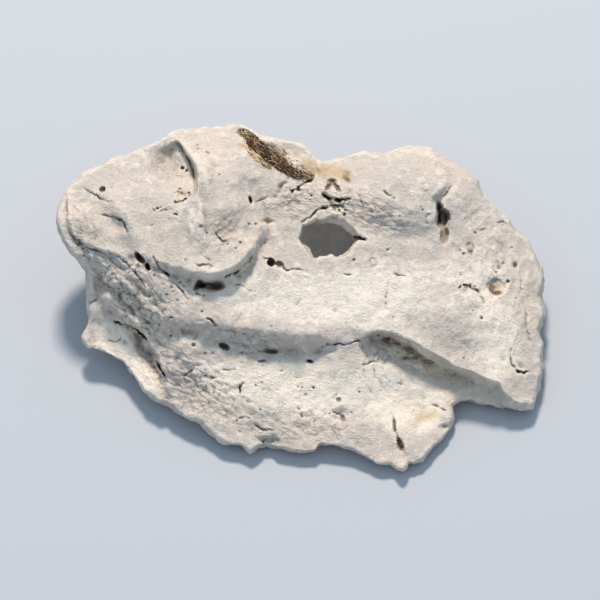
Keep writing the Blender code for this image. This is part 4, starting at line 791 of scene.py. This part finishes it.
# where each colour and each run of wrinkles lies on the rock
stains = {
    # soft patches: across, up, half width, half height, turn, strength
    "brown": [
        (-28.5, 4.0, 4, 2.0, 5, 0.8), (-36.9, 47.5, 1.4, 4.2, 24, 0.7), (-35.4, 42, 1.0, 3, 0, 0.6),
        (-52.4, 12.5, 2.4, 1.4, -50, 0.5), (-50.6, 10.7, 1.6, 1.4, -47, 0.9),
        (-7.0, 12.0, 2.0, 1.6, 0, 0.9), (-5.2, 11.2, 1.5, 1.0, -30, 0.6),
        (48.0, 21.9, 2.2, 3.8, 0, 0.6), (49.5, 27, 1.7, 4.8, 0, 0.9), (57.1, 16.6, 1.9, 2.4, 10, 0.7),
        (66.5, 11.6, 1.2, 2.4, 10, 0.6), (72.4, 12, 1.4, 1.8, 0, 0.45), (63.9, 4.2, 1.7, 2.9, 15, 0.8),
        (66.2, 2.3, 3, 1.3, 8, 0.75), (66, 4.6, 3.0, 2.6, 10, 0.35), (69.8, 6.2, 1.2, 1.1, 0, 0.6),
        (55.9, 4.6, 3.4, 1.4, -5, 0.5), (59.5, 2.6, 2, 1.2, -35, 0.4), (14.2, -39.2, 1.5, 2.4, 10, 0.8),
        (31.4, -41.2, 1.0, 3.4, 5, 0.9), (32.5, -45.4, 0.9, 2.2, 10, 0.6),
        (33.6, -48.3, 1.9, 3.2, 25, 0.9), (-35.6, -15, 1.3, 1.1, 0, 0.6), (9.3, 38, 1.3, 2.8, -30, 1.0),
        (12.4, 38.1, 1.5, 3.2, 35, 1.0), (10.7, 40.2, 2.6, 1.3, 0, 1.0), (2.3, 40.2, 3.6, 1.3, 15, 0.5),
        (-0.6, 37.6, 1.3, 1.0, 0, 0.6), (16.0, 43.0, 3.2, 1.6, -20, 0.5),
        (15.6, 40.8, 3.2, 1.7, -38, 0.7), (-62.3, -7, 1.4, 0.9, 0, 0.4),
        (-53.7, -11.3, 2.2, 1.2, -30, 0.4), (45.9, -35.7, 2.2, 0.9, -20, 0.3),
        (50.5, -42, 1.4, 1, 0, 0.3), (73.3, -23.8, 2.4, 1.0, -10, 0.4), (-11.5, 27, 3.2, 0.9, 0, 0.3),
        (19.6, 20.6, 1.6, 1.2, 0, 0.4), (-39.5, 33.2, 2.6, 0.8, 20, 0.5),
        (-48.6, 30.3, 2.6, 1.0, -60, 0.4), (-41.2, 35, 1.8, 0.9, 60, 0.4),
        (4.7, -29.3, 0.8, 0.8, 0, 0.6), (-22.4, -23.2, 1.5, 0.6, 0, 0.4),
    ],
    # tan: mostly stains; the patches on the scoop's shaded wall, at (29.5, -13.3) and (36, -16.6), partly
    # paint warm light bounced from the bowl
    "tan": [
        (8, 43.6, 12, 4.2, -8, 0.75), (15.5, 41.6, 5, 3, -30, 0.6), (3, 45.5, 6, 3, -30, 0.5),
        (-13.8, 47.2, 10, 2.3, -40, 0.95), (-19.5, 53.5, 1.8, 3.4, -20, 0.8),
        (-5, 47.2, 6, 2.2, -40, 0.55), (-20.5, 56.4, 2.6, 1.4, 0, 0.6), (-11.5, 26.6, 4.4, 1.3, 0, 0.8),
        (-24.5, 24.5, 9.5, 9.5, 0, 0.4), (57, 17, 3.4, 4, 0, 0.35), (65.8, 4.6, 3.4, 2.8, 10, 0.6),
        (64, 8, 9, 8, 0, 0.22), (33.3, -45, 3.4, 6, 10, 0.4), (12.5, -38.5, 4, 3, 0, 0.35),
        (-48, 31, 3.0, 2.4, -60, 0.6), (48.4, 21.9, 2.6, 4.0, 0, 1.2), (43.5, -38.4, 6, 3.6, 12, 0.45),
        (38, -41, 6, 4, 35, 0.45), (36.5, -36, 4, 3, 0, 0.3), (31, -19.5, 7, 4, -20, 0.22),
        (72, 11, 3, 2.4, 0, 0.3), (-6.2, -22.3, 3.2, 1.8, -10, 0.5), (-4, 24.6, 5, 2, -20, 0.25),
        (44, -22, 7, 4, -25, 0.3), (29.5, -13.3, 6, 2.6, 0, 0.6), (36, -16.6, 10, 3.6, -26, 0.5),
        (-39.5, 35.2, 3.8, 3.0, 20, 0.75), (-13.5, -20.6, 2.4, 1, 0, 0.3),
    ],
    # cream: mostly the stone's own colour; the patch over the scoop's shaded wall, at (41, -20), paints
    # warm light bounced from the bowl
    "cream": [
        (-40, 35, 4.4, 3.6, 20, 0.7), (-9.5, 23, 6, 3.4, -20, 0.5), (-7, 9.8, 4, 2, -20, 0.4),
        (36, -33, 14, 11, -20, 0.5), (41, -20, 14, 5, -28, 0.9), (42.7, -38, 6.5, 3.8, 10, 0.9),
        (62, 8, 17, 20, 0, 0.3), (2, -24, 17, 7, -5, 0.5), (-54.8, 11.8, 1.6, 3.4, -50, 0.9),
        (9, 12, 18, 5, 0, 0.2), (-22, -19, 16, 4, -10, 0.4), (12, -38, 8, 5, 0, 0.4),
        (-60, 33, 18, 10, 20, 0.15), (-63, -10, 9, 6, 0, 0.3), (30, -8, 14, 8, 0, 0.2),
        (-3, 45, 8, 3.4, -35, 0.7), (-30, 2.4, 5, 1.6, 0, 0.35), (10, 42.5, 10, 4, -8, 0.5),
        (-80, 27, 3, 7, 0, 0.3), (5, 27.4, 7, 2.4, 10, 0.35), (-35.5, -15.2, 2.6, 1.8, 0, 0.4),
        (11.5, 36.6, 1.6, 1.4, 0, 0.6),
    ],
    # painted light: paler patches where the ground slopes from the lamp or lies in shade, so that it shows
    # as bright as the level tops
    "paintedLight": [
        (0, 0, 66, 13, -7, 0.75), (30, 6, 34, 14, -5, 0.55), (66, -14, 14, 22, 5, 0.8),
        (38, -36, 17, 14, 0, 1.0), (5, -30, 36, 15, -6, 1.0), (-6, -24, 12, 5, 0, 0.6),
        (27, -25, 9, 9, 0, 0.6), (37, -18, 14, 5, -27, 1.0), (-36, 27, 2.8, 9, 6, 0.6),
        (-36, -13, 7, 3.5, -10, 0.9), (-33, 32, 2, 5, 0, 0.3), (-26, -26, 18, 9, -20, 0.8),
        (-62, -13, 12, 9, -35, 1.0), (62, 10, 18, 16, 0, 0.5), (-52, -26, 9, 12, 40, 0.7),
    ],
    # near black: mostly painted shade inside holes, slots and the valley crack, with a few dark
    # brown-black stains
    "darkStainAndShade": [
        (-34.4, 5.0, 1.4, 1.2, 0, 0.9), (-31, 5.2, 3.6, 1.1, 3, 0.7), (-54, 14.6, 2.2, 1.0, -50, 0.9),
        (-51, 11.9, 1.3, 1.2, -50, 0.9), (-44.6, 8.9, 1.2, 0.8, -40, 0.8),
        (-9.7, 12.5, 1.3, 1.5, 0, 0.9), (46.6, 30, 1.2, 2.8, 0, 0.8), (47.0, 26.8, 1.2, 2.4, 0, 0.8),
        (-25.3, -15.2, 3.0, 1.2, -22, 1.1), (-9.8, -17.3, 3.4, 1.0, -8, 1.1),
        (3.3, -20.4, 2.0, 0.9, -22, 1.1), (12.9, -33, 0.6, 0.8, 20, 0.9),
        (-28.8, -17.6, 0.6, 0.5, 0, 0.9), (-66, 37.1, 1.2, 1.2, 0, 1.0),
        (35.2, -19.6, 1.5, 0.6, 10, 0.8), (9.4, 38.3, 0.8, 2.0, -30, 0.8),
        (12.3, 38.4, 0.9, 2.4, 35, 0.8), (10.8, 40.3, 1.7, 0.8, 0, 0.7),
        (-53, -11.3, 2.6, 0.8, -30, 0.8), (-46.7, -22.4, 0.7, 2.2, 25, 0.8),
        (19.6, 20.6, 1.2, 0.8, 0, 0.6),
    ],
    # where fine wrinkles run down the left, and along the back and the bench
    "steepWrinkles": [
        (-56, 2, 26, 14, -45, 1.0), (-38, -28, 26, 14, -38, 0.9), (-73, 20, 10, 9, 0, 0.7),
        (-46, 10, 14, 6, -30, 0.8), (-24, 22, 10, 9, 0, 0.35), (-43, 45, 9, 9, 0, 0.4),
    ],
    "flatWrinkles": [
        (20, 31, 28, 9, -18, 0.9), (-3, 32, 12, 9, 0, 0.8), (-20, -12, 30, 6, -10, 0.7),
        (0, -42, 34, 9, -6, 0.6), (36, -18, 20, 7, -28, 0.6), (-10, -28, 30, 9, -6, 0.3),
    ],
    # grey: partly the stone's own grey, partly painted shade on faces turned from the lamp, under the head
    # and in hollows
    "grey": [
        (24, 30, 20, 8, -16, 0.5), (-1, 32, 10, 6, 10, 0.35), (-70.5, 24.5, 6, 5.5, -30, 0.9),
        (-44, 46, 7, 6, 10, 0.45), (-71, 21.5, 5.5, 3.5, -20, 0.6), (-68.5, 7, 3.5, 7, 0, 0.5),
        (-22, 8, 12, 3, 15, 0.3), (66, -31, 14, 4, -12, 0.5), (-53, -2, 18, 5, -45, 0.15),
        (-25, 24.5, 9, 9.5, 0, 0.6), (-7.5, -47, 5, 2, -8, 0.6), (-36.3, 27, 4.2, 6, 10, 0.4),
        (-49, -16, 3, 8, 20, 0.35), (-38, -30, 16, 7, -38, 0.25), (-10, -38, 22, 7, -8, 0.35),
        (48, 40, 10, 4, -40, 0.2), (-58, 19, 5, 6, 0, 0.35), (-50.5, -17.5, 1.8, 5.5, 25, 0.5),
    ],
}


def patchOf(kind, across, up):
    # the sum of a kind's patches, each full in its middle and fading to its edge
    total = np.zeros(across.shape)
    for spot in stains[kind]:
        at = near(across, up, spot, 1.0 + max(spot[2:4]))
        total[at] += spot[5] * (1.0 - ease(inEllipse(spot, across[at], up[at]) - 0.1))
    return total


# how the painted numbers come from the shape
paintWork = {
    "shadePerDepth": 0.6,     # painted shade in a cut, for each millimetre of its depth
    "curveRounds": 3,        # how often the curvature is smoothed
    "curveSpan": 0.12,       # curvature from the sharpest crest, 0, to the deepest hollow, 1
    "awayCurve": 0.3,        # how much of it is kept away from the face, where the skin is coarser
}


def paint(piece):
    # one number a point for each stain, the painted shade in the cuts, the hollows (0.5 where flat) and
    # the pocket
    points, normals, across, up, front = readSkin(piece.data)
    for kind in stains:
        setAttribute(piece.data, kind, patchOf(kind, across, up) * front)
    setAttribute(piece.data, "cutShade", paintWork["shadePerDepth"] * cutDepth(across, up) * front)
    pocket = 1.0 - ease((inPocket(points) - 0.98) / 0.1)
    kept = paintWork["awayCurve"] + (1.0 - paintWork["awayCurve"]) * front
    hollow = curvature(piece.data, points, normals, paintWork["curveRounds"]) * kept * (1.0 - pocket)
    setAttribute(piece.data, "hollow", 0.5 + hollow / paintWork["curveSpan"])
    setAttribute(piece.data, "pocket", pocket)
    print("rock: painted")


class Value:
    # a socket that takes +, - and * with other sockets or numbers, each adding a Math node
    def __init__(self, finish, socket):
        self.finish, self.socket = finish, socket

    def maths(self, operation, a, b):
        return self.finish.node("ShaderNodeMath", {"operation": operation}, {0: a, 1: b})

    def __add__(self, other):
        return self.maths("ADD", self, other)

    def __sub__(self, other):
        return self.maths("SUBTRACT", self, other)

    def __rsub__(self, other):
        return self.maths("SUBTRACT", other, self)

    def __mul__(self, other):
        return self.maths("MULTIPLY", self, other)

    __radd__, __rmul__ = __add__, __mul__


class Finish:
    # a material: its Principled shader, and one method that adds any other node
    def __init__(self, name, colour, roughness, specular):
        self.material = bpy.data.materials.new(name)
        self.material.use_nodes = True
        self.material.diffuse_color = (*colour, 1.0)
        self.tree = self.material.node_tree
        self.shader = self.tree.nodes["Principled BSDF"]
        self.shader.inputs["Base Color"].default_value = (*colour, 1.0)
        self.shader.inputs["Roughness"].default_value = roughness
        self.shader.inputs["Specular IOR Level"].default_value = specular
        self.place = self.node("ShaderNodeTexCoord", output="Object")

    def node(self, kind, settings=None, inputs=None, output=0):
        node = self.tree.nodes.new(kind)
        for name, setting in (settings or {}).items():
            setattr(node, name, setting)
        for name, value in (inputs or {}).items():
            if isinstance(value, Value):
                self.tree.links.new(value.socket, node.inputs[name])
            else:
                node.inputs[name].default_value = value
        return Value(self, node.outputs[output])

    def noise(self, size, detail=2.0, rough=0.5, warp=0.0):
        # size in millimetres; about 0.5 all over, with lighter and darker places
        return self.node("ShaderNodeTexNoise", {}, {"Vector": self.place, "Scale": 1.0 / (size * mm),
                         "Detail": detail, "Roughness": rough, "Distortion": warp})

    def wrinkles(self, turn, length, width, feature="F1"):
        # cells drawn out at a turn on the face: the distance to their middles, or to their edges
        cos, sin = cosSin(turn)
        bent = self.node("ShaderNodeTexNoise", {}, {"Vector": self.place, "Scale": 0.4 / (width * mm),
                         "Detail": 3.0}, output=1)
        place = self.node("ShaderNodeVectorMath", {"operation": "MULTIPLY_ADD"},
                          {0: bent, 1: (2.4 * width * mm,) * 3, 2: self.place})
        sides = []
        for x, y, size in ((cos, sin, length), (-sin, cos, width)):
            line = np.array([x, y * math.sin(lean), y * math.cos(lean)]) / (size * mm)
            sides.append(self.node("ShaderNodeVectorMath", {"operation": "DOT_PRODUCT"},
                                   {0: place, 1: line}, output=1))
        cell = self.node("ShaderNodeCombineXYZ", {}, {0: sides[0], 1: sides[1]})
        return self.node("ShaderNodeTexVoronoi", {"voronoi_dimensions": "2D", "feature": feature},
                         {"Vector": cell, "Scale": 1.0})

    def dots(self, size, reach):
        # round dots of a reach, one in each cell of a size: 1 inside and 0 outside
        away = self.node("ShaderNodeTexVoronoi", {}, {"Vector": self.place, "Scale": 1.0 / (size * mm)})
        return self.between(away, reach, 0.6 * reach)

    def between(self, value, low, high):
        # 0 at low and 1 at high, with level ends
        return self.node("ShaderNodeMapRange", {"interpolation_type": "SMOOTHSTEP"},
                         {"Value": value, "From Min": low, "From Max": high})

    def painted(self, name):
        return self.node("ShaderNodeAttribute", {"attribute_name": name}, output="Fac")

    def mix(self, factor, a, b):
        colours = [(*c, 1.0) if isinstance(c, tuple) else c for c in (a, b)]
        return self.node("ShaderNodeMix", {"data_type": "RGBA"},
                         {0: factor, 6: colours[0], 7: colours[1]}, output=2)

    def darken(self, colour, value):
        # a colour multiplied by a number, through a grey made of that number
        grey = self.node("ShaderNodeCombineColor", {}, {0: value, 1: value, 2: value})
        return self.node("ShaderNodeMix", {"data_type": "RGBA", "blend_type": "MULTIPLY"},
                         {0: 1.0, 6: colour, 7: grey}, output=2)

    def set(self, **values):
        for name, value in values.items():
            self.tree.links.new(value.socket, self.shader.inputs[name.replace("_", " ")])

    def bump(self, height, depth, under=None):
        # depth in millimetres for a height from 0 to 1
        inputs = {"Height": height, "Distance": depth * mm}
        if under:
            inputs["Normal"] = under
        return self.node("ShaderNodeBump", {}, inputs)


# the stone's colours, and how rough and glossy it is. The palest tone paints light, the grey partly paints
# shade, the near black mostly paints shade in holes, hollows and cuts, and the pocket's pale tone lifts
# the shade inside the pocket
stone = {
    "warm": (0.64, 0.545, 0.455), "pale": (0.78, 0.70, 0.61), "cool": (0.56, 0.495, 0.435),
    "cream": (0.84, 0.71, 0.54), "tan": (0.53, 0.39, 0.24), "brown": (0.135, 0.072, 0.036),
    "grey": (0.48, 0.425, 0.37), "paintedLight": (0.86, 0.765, 0.645), "darkStainAndShade": (0.045, 0.032, 0.024),
    "pocket": (0.93, 0.88, 0.82),
    "roughness": 0.88, "specular": 0.25,
}


def stoneFinish():
    f = Finish("stone", stone["warm"], stone["roughness"], stone["specular"])
    broad, patchy = f.noise(22, 3, 0.55), f.noise(6, 4, 0.6, 0.4)
    mottle, grain = f.noise(1.6, 5, 0.65), f.noise(0.45, 3, 0.6)
    hollow = f.painted("hollow")
    # broad cool and warm areas with paler patches, then each painted place with a ragged edge, stains and
    # painted light and shade alike
    colour = f.mix(f.between(broad, 0.35, 0.66), stone["cool"], stone["warm"])
    colour = f.mix(f.between(patchy, 0.52, 0.72) * 0.65, colour, stone["pale"])
    ragged = (mottle - 0.5) * 0.9 + (patchy - 0.5) * 0.8
    for kind, strength in (("paintedLight", 0.9), ("grey", 0.75), ("cream", 0.75), ("tan", 0.85),
                           ("brown", 0.92), ("darkStainAndShade", 0.95)):
        amount = f.painted(kind)
        edge = f.between(amount + ragged * 0.6, 0.18, 0.75) * f.between(amount, 0.0, 0.15)
        colour = f.mix(edge * strength, colour, stone[kind])
    # the pocket's inside is painted pale, so that its shade shows lighter
    colour = f.mix(f.painted("pocket") * 0.95, colour, stone["pocket"])
    # pale crests, painted shade in the hollows, grey to black in the deepest of them, and black painted
    # shade in the cuts
    colour = f.mix(f.between(hollow, 0.40, 0.15) * 0.5, colour, stone["pale"])
    colour = f.mix(f.between(hollow, 0.58, 0.95) * 0.6, colour, stone["grey"])
    colour = f.mix(f.between(hollow, 0.78, 1.1) * 0.4, colour, stone["darkStainAndShade"])
    colour = f.mix(f.between(f.painted("cutShade"), 0.25, 0.95) * 0.9, colour, stone["darkStainAndShade"])
    # brown pores and pale flecks in some of the patches
    pores = f.dots(1.1, 0.17) * f.between(patchy, 0.48, 0.62)
    flecks = f.dots(1.7, 0.15) * f.between(mottle, 0.5, 0.6)
    colour = f.mix(flecks * 0.6, colour, stone["pale"])
    colour = f.mix(pores * 0.55, colour, stone["brown"])
    # soft wrinkles, running down on the steep sides and lying flatter elsewhere
    steep = f.wrinkles(-42, 2.4, 1.1) * f.painted("steepWrinkles")
    flat = f.wrinkles(-18, 2.4, 1.0) * f.painted("flatWrinkles")
    # fine cracks between cells, painted dark as shade, broken up where the patchy noise is low
    cracked = f.wrinkles(-40, 6, 2.6, "DISTANCE_TO_EDGE")
    flatCracked = f.wrinkles(-14, 5, 2.2, "DISTANCE_TO_EDGE")
    lines = (f.between(cracked, 0.09, 0.0) * f.painted("steepWrinkles")
             + f.between(flatCracked, 0.09, 0.0) * f.painted("flatWrinkles"))
    lines = lines * f.between(patchy, 0.42, 0.56)
    # the tone: random mottle and grain, less painted shade in the wrinkles' valleys and along the fine
    # cracks
    shade = 1.0 + (mottle - 0.5) * 0.36 + (grain - 0.5) * 0.36 - (steep + flat) * 0.12 - lines * 0.4
    shade = shade + (patchy - 0.5) * 0.6 * f.painted("pocket")
    f.set(Base_Color=f.darken(colour, shade))
    f.set(Roughness=0.80 + grain * 0.2)
    # relief from coarse to fine, each worked over the one before
    rough = f.bump(mottle - (steep + flat) * 1.2 - lines * 0.8, 0.42)
    rough = f.bump(f.noise(0.8, 4, 0.7), 0.28, rough)
    rough = f.bump(grain, 0.12, rough)
    f.set(Normal=f.bump(1.0 - pores, 0.2, rough))
    return f.material


# the matted roots in the groove and the small tuft in the lobe
roots = {
    # middle lines: across, up, half width
    "pad": [(-20.0, 56.6, 1.3), (-17.8, 55.2, 1.9), (-14.0, 51.9, 1.9), (-9.6, 48.0, 1.8),
            (-6.0, 45.2, 1.6), (-2.6, 43.2, 1.2), (-0.6, 42.4, 0.7), (0.8, 42.0, 0.3)],
    "leftFringe": [(-19.4, 53.6, 0.7), (-15.8, 49.2, 1.0), (-11.7, 46.0, 1.0), (-7.1, 43.4, 0.7)],
    "rightFringe": [(-11.7, 54.2, 0.6), (-8.6, 51.2, 1.3), (-5.0, 48.6, 1.6), (-0.9, 45.3, 1.6),
                    (6.0, 43.8, 1.3)],
    "tail": [(-3.6, 43.4, 1.0), (0.5, 42.3, 1.4), (4.2, 41.6, 0.8)],
    "brow": [(-20.4, 57.0, 0.6), (-18.6, 56.0, 1.4), (-16.5, 53.8, 1.2)],
    "tuft": [(32.4, -45.4, 0.4), (33.8, -48.2, 1.1), (35.4, -51.0, 0.4)],
    # lots of strands: line, crown, count, shortest and longest, spread of direction, palest tone
    "felt": ("pad", 2.2, 2400, 0.8, 3.2, 0.8, 0.96),
    "longStrands": ("pad", 2.4, 420, 2.5, 6.0, 0.25, 1.15),
    "endStraw": ("tail", 1.0, 230, 1.5, 3.6, 0.5, 2.2),
    "topStraw": ("brow", 2.3, 110, 1.5, 3.6, 0.6, 1.8),
    "leftStraw": ("leftFringe", 0.45, 170, 2.0, 5.5, 0.16, 5.0),
    "rightStraw": ("rightFringe", 0.35, 50, 2.0, 6.0, 0.22, 4.0),
    "tuftFelt": ("tuft", 0.4, 130, 0.6, 2.4, 0.9, 0.9),
    "strandRadius": (0.06, 0.15),
    "strandSides": 4,
    "strandSteps": 7,
    "padSides": 24,
    "padRings": 60,
    # pieces: middle line, thickness of the pad, lots of strands, first seed
    "driedRoots": ("pad", 2.0,
                   ["felt", "longStrands", "endStraw", "topStraw", "leftStraw", "rightStraw"], 3),
    "rootTuft": ("tuft", 0.35, ["tuftFelt"], 40),
    "dark": (0.045, 0.024, 0.014), "brown": (0.22, 0.12, 0.062), "straw": (0.62, 0.47, 0.28),
}


def alongShares(p):
    # how far along the line each of its points is, from 0 to 1
    run = np.append(0.0, np.cumsum(np.hypot(*np.diff(p[:, :2], axis=0).T)))
    return run / run[-1]


def padSkin(line, thickness):
    # a flat lens along a line: at each step a ring whose radii are the line's half width and half
    # the thickness, which fades like an ellipse to both ends; it is sunk a little into the stone
    p = np.array(line)
    shares = alongShares(p)
    t = np.linspace(0.0, 1.0, roots["padRings"] + 2)[1:-1, None]
    angle = np.linspace(0.0, 2 * math.pi, roots["padSides"], endpoint=False)[None, :]
    middleA, middleB, half = (np.interp(t, shares, column) for column in p.T)
    ends = p[-1, :2] - p[0, :2]
    aside = np.array([-ends[1], ends[0]]) / np.hypot(*ends)
    fade = np.sqrt(1.0 - (2.0 * t - 1.0) ** 2)
    across = middleA + aside[0] * half * np.cos(angle)
    up = middleB + aside[1] * half * np.cos(angle)
    lift = 0.5 * thickness * fade * (1.0 + np.sin(angle)) - 0.3
    grid = np.stack(toWorld(across, up, faceHeight(across, up) + lift), axis=-1)
    poles = [np.array(toWorld(*end[:2], float(faceHeight(*np.array(end[:2])[:, None])[0])))
             for end in (p[0], p[-1])]
    return grid, poles


def strandSkins(lot, seed):
    # thin bent tubes: a middle line that wanders over the line's band, crowned like an ellipse
    # across it, and a ring round each step, which narrows to both ends
    line, crown, count, shortest, longest, spread, palest = lot
    steps, sides = roots["strandSteps"], roots["strandSides"]
    random = np.random.default_rng(seed)
    p = np.array(roots[line])
    shares = alongShares(p)
    at = random.uniform(0.03, 0.97, count)         # place along the line
    side = random.uniform(-0.85, 0.85, count)      # place across it, 1 on its left edge
    middleA, middleB, half = (np.interp(at, shares, column) for column in p.T)
    aheadA, aheadB = (np.interp(at + 0.02, shares, column) - np.interp(at - 0.02, shares, column)
                      for column in p.T[:2])
    lay = np.arctan2(aheadB, aheadA)               # which way the line runs there
    turn = lay + random.normal(0.0, spread, count)
    length = random.uniform(shortest, longest, count) * random.uniform(0.6, 1.0, count)
    # a strand that lies across the line is kept from reaching far over its edge
    length = np.minimum(length, (half + 0.5) / np.maximum(np.abs(np.sin(turn - lay)), 0.2))
    t = np.linspace(-0.5, 0.5, steps)[None, :]
    bend = random.normal(0.0, 0.9, count)[:, None]
    heading = turn[:, None] + bend * t + 0.5 * np.sin(9.0 * t + 6.0 * side[:, None])
    step = length[:, None] / (steps - 1)
    stepA, stepB = np.cumsum(np.cos(heading) * step, axis=1), np.cumsum(np.sin(heading) * step, axis=1)
    across = (middleA - np.sin(lay) * side * half)[:, None] + stepA - stepA.mean(axis=1, keepdims=True)
    up = (middleB + np.cos(lay) * side * half)[:, None] + stepB - stepB.mean(axis=1, keepdims=True)
    top = crown * np.sqrt(1.0 - side ** 2) * np.sqrt(1.0 - (2.0 * at - 1.0) ** 2)
    lift = (top * random.uniform(0.6, 1.0, count))[:, None] - 0.1
    lift = lift + 0.3 * np.sin(5.0 * t + 6.0 * at[:, None])
    path = np.stack(toWorld(across, up, faceHeight(across, up) + lift), axis=-1)
    along = np.gradient(path, axis=1)
    along /= np.linalg.norm(along, axis=2, keepdims=True)
    first = np.cross(along, [0.3, -0.5, 0.81])
    first /= np.linalg.norm(first, axis=2, keepdims=True)
    second = np.cross(along, first)
    radius = random.uniform(*roots["strandRadius"], count)[:, None, None] * (1.0 - 1.6 * t ** 2)[..., None]
    angle = np.linspace(0.0, 2 * math.pi, sides, endpoint=False)
    skins = path[:, :, None] + radius[..., None] * (
        first[:, :, None] * np.cos(angle)[:, None] + second[:, :, None] * np.sin(angle)[:, None])
    return skins, path, np.minimum(random.uniform(0.0, palest, count), 1.0)


def rootPiece(name, line, thickness, lots, seed):
    # the pad's lens and all of its strands in one mesh; the lens, which the strands cover, keeps
    # the grid's own turn, so its faces point inwards
    pad, poles = padSkin(roots[line], thickness)
    mesh = meshFromGrid(name, pad, *poles)
    points = readVectors(mesh.vertices, "co") / mm
    corners = [list(p.vertices) for p in mesh.polygons]
    skins, path, tone = (np.concatenate(part) for part in zip(
        *[strandSkins(roots[lot], seed + k) for k, lot in enumerate(lots)]))
    count, steps, sides = skins.shape[:3]
    strandPoints = np.concatenate([skins.reshape(count, -1, 3), path[:, :1], path[:, -1:]], axis=1)
    each = strandPoints.shape[1]
    quads, fans = gridFaces(steps, sides)
    start = len(points) + np.arange(count)[:, None, None] * each
    # a strand's rings turn the other way from the rock's, so its faces are turned over
    corners += (start + quads[:, [0, 3, 2, 1]]).reshape(-1, 4).tolist()
    corners += (start + fans[:, [0, 2, 1]]).reshape(-1, 3).tolist()
    mesh = bpy.data.meshes.new(name)
    mesh.from_pydata((np.concatenate([points, strandPoints.reshape(-1, 3)]) * mm).tolist(), [], corners)
    mesh.shade_smooth()
    setAttribute(mesh, "tone", np.concatenate([np.full(len(points), 0.15), np.repeat(tone, each)]))
    print(name + ":", len(mesh.polygons), "faces")
    return addPiece(name, mesh)


def rootFinish():
    f = Finish("roots", roots["brown"], 0.85, 0.3)
    tone, mottle = f.painted("tone"), f.noise(0.9, 3)
    colour = f.mix(f.between(tone, 0.25, 0.85), roots["dark"], roots["brown"])
    colour = f.mix(f.between(tone, 0.86, 0.97), colour, roots["straw"])
    f.set(Base_Color=f.darken(colour, 0.6 + mottle * 0.8))
    f.set(Roughness=0.7 + mottle * 0.3)
    f.set(Normal=f.bump(f.noise(0.25, 2), 0.06))
    return f.material


# floor, lamp, room and camera
studio = {
    "floor": (0.44, 0.46, 0.49), "keyTurn": -5, "keyHeight": 57, "keyDistance": 1.8, "keySize": 0.32,
    "keyPower": 38.0, "keyColour": (1.0, 0.895, 0.79), "room": (0.64, 0.81, 1.0), "roomStrength": 0.72,
    "aim": (0.0, -0.0034, 0.030), "cameraDistance": 3.0, "frameWidth": 0.2, "cameraClip": 20.0,
    "floorReach": 6.0,
}


def stageScene():
    scene = bpy.context.scene
    reach = studio["floorReach"]
    corners = [(-reach, -reach, 0), (reach, -reach, 0), (reach, reach, 0), (-reach, reach, 0)]
    mesh = bpy.data.meshes.new("floor")
    mesh.from_pydata(corners, [], [(0, 1, 2, 3)])
    mesh.materials.append(Finish("floor", studio["floor"], 0.9, 0.2).material)
    addPiece("floor", mesh)

    turn, height = math.radians(studio["keyTurn"]), math.radians(studio["keyHeight"])
    lamp = bpy.data.lights.new("key", "AREA")
    lamp.shape = "DISK"
    lamp.size, lamp.energy, lamp.color = studio["keySize"], studio["keyPower"], studio["keyColour"]
    key = addPiece("key", lamp)
    level = math.cos(height)
    away = np.array([math.sin(turn) * level, math.cos(turn) * level, math.sin(height)])
    key.location = np.array(studio["aim"]) + away * studio["keyDistance"]
    key.rotation_euler = (math.radians(90) - height, 0.0, math.pi - turn)

    scene.world = bpy.data.worlds.new("room")
    scene.world.use_nodes = True
    background = scene.world.node_tree.nodes["Background"]
    background.inputs["Color"].default_value = (*studio["room"], 1.0)
    background.inputs["Strength"].default_value = studio["roomStrength"]
    scene.view_settings.view_transform = "Standard"

    camera = addPiece("camera", bpy.data.cameras.new("camera"))
    camera.data.lens = camera.data.sensor_width * studio["cameraDistance"] / studio["frameWidth"]
    camera.data.clip_end = studio["cameraClip"]
    back = np.array([0.0, -math.cos(lean), math.sin(lean)]) * studio["cameraDistance"]
    camera.location = np.array(studio["aim"]) + back
    camera.rotation_euler = (math.radians(90) - lean, 0.0, 0.0)
    scene.camera = camera
    print("scene: floor, lamp, room and camera are set")


for leftover in [o for o in bpy.context.scene.objects if o.name in ("Cube", "Light", "Camera")]:
    bpy.data.objects.remove(leftover)

stageScene()
holeyRock = rockBody()
wearDown(holeyRock)
paint(holeyRock)
holeyRock.data.materials.clear()      # the remade skin brings an empty slot
holeyRock.data.materials.append(stoneFinish())
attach(holeyRock, "root")
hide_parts("rock")

driedRoots = rootPiece("driedRoots", *roots["driedRoots"])
rootTuft = rootPiece("rootTuft", *roots["rootTuft"])
rootMaterial = rootFinish()
for piece in (driedRoots, rootTuft):
    piece.data.materials.append(rootMaterial)
    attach(piece, "root")
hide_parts("dried_roots")
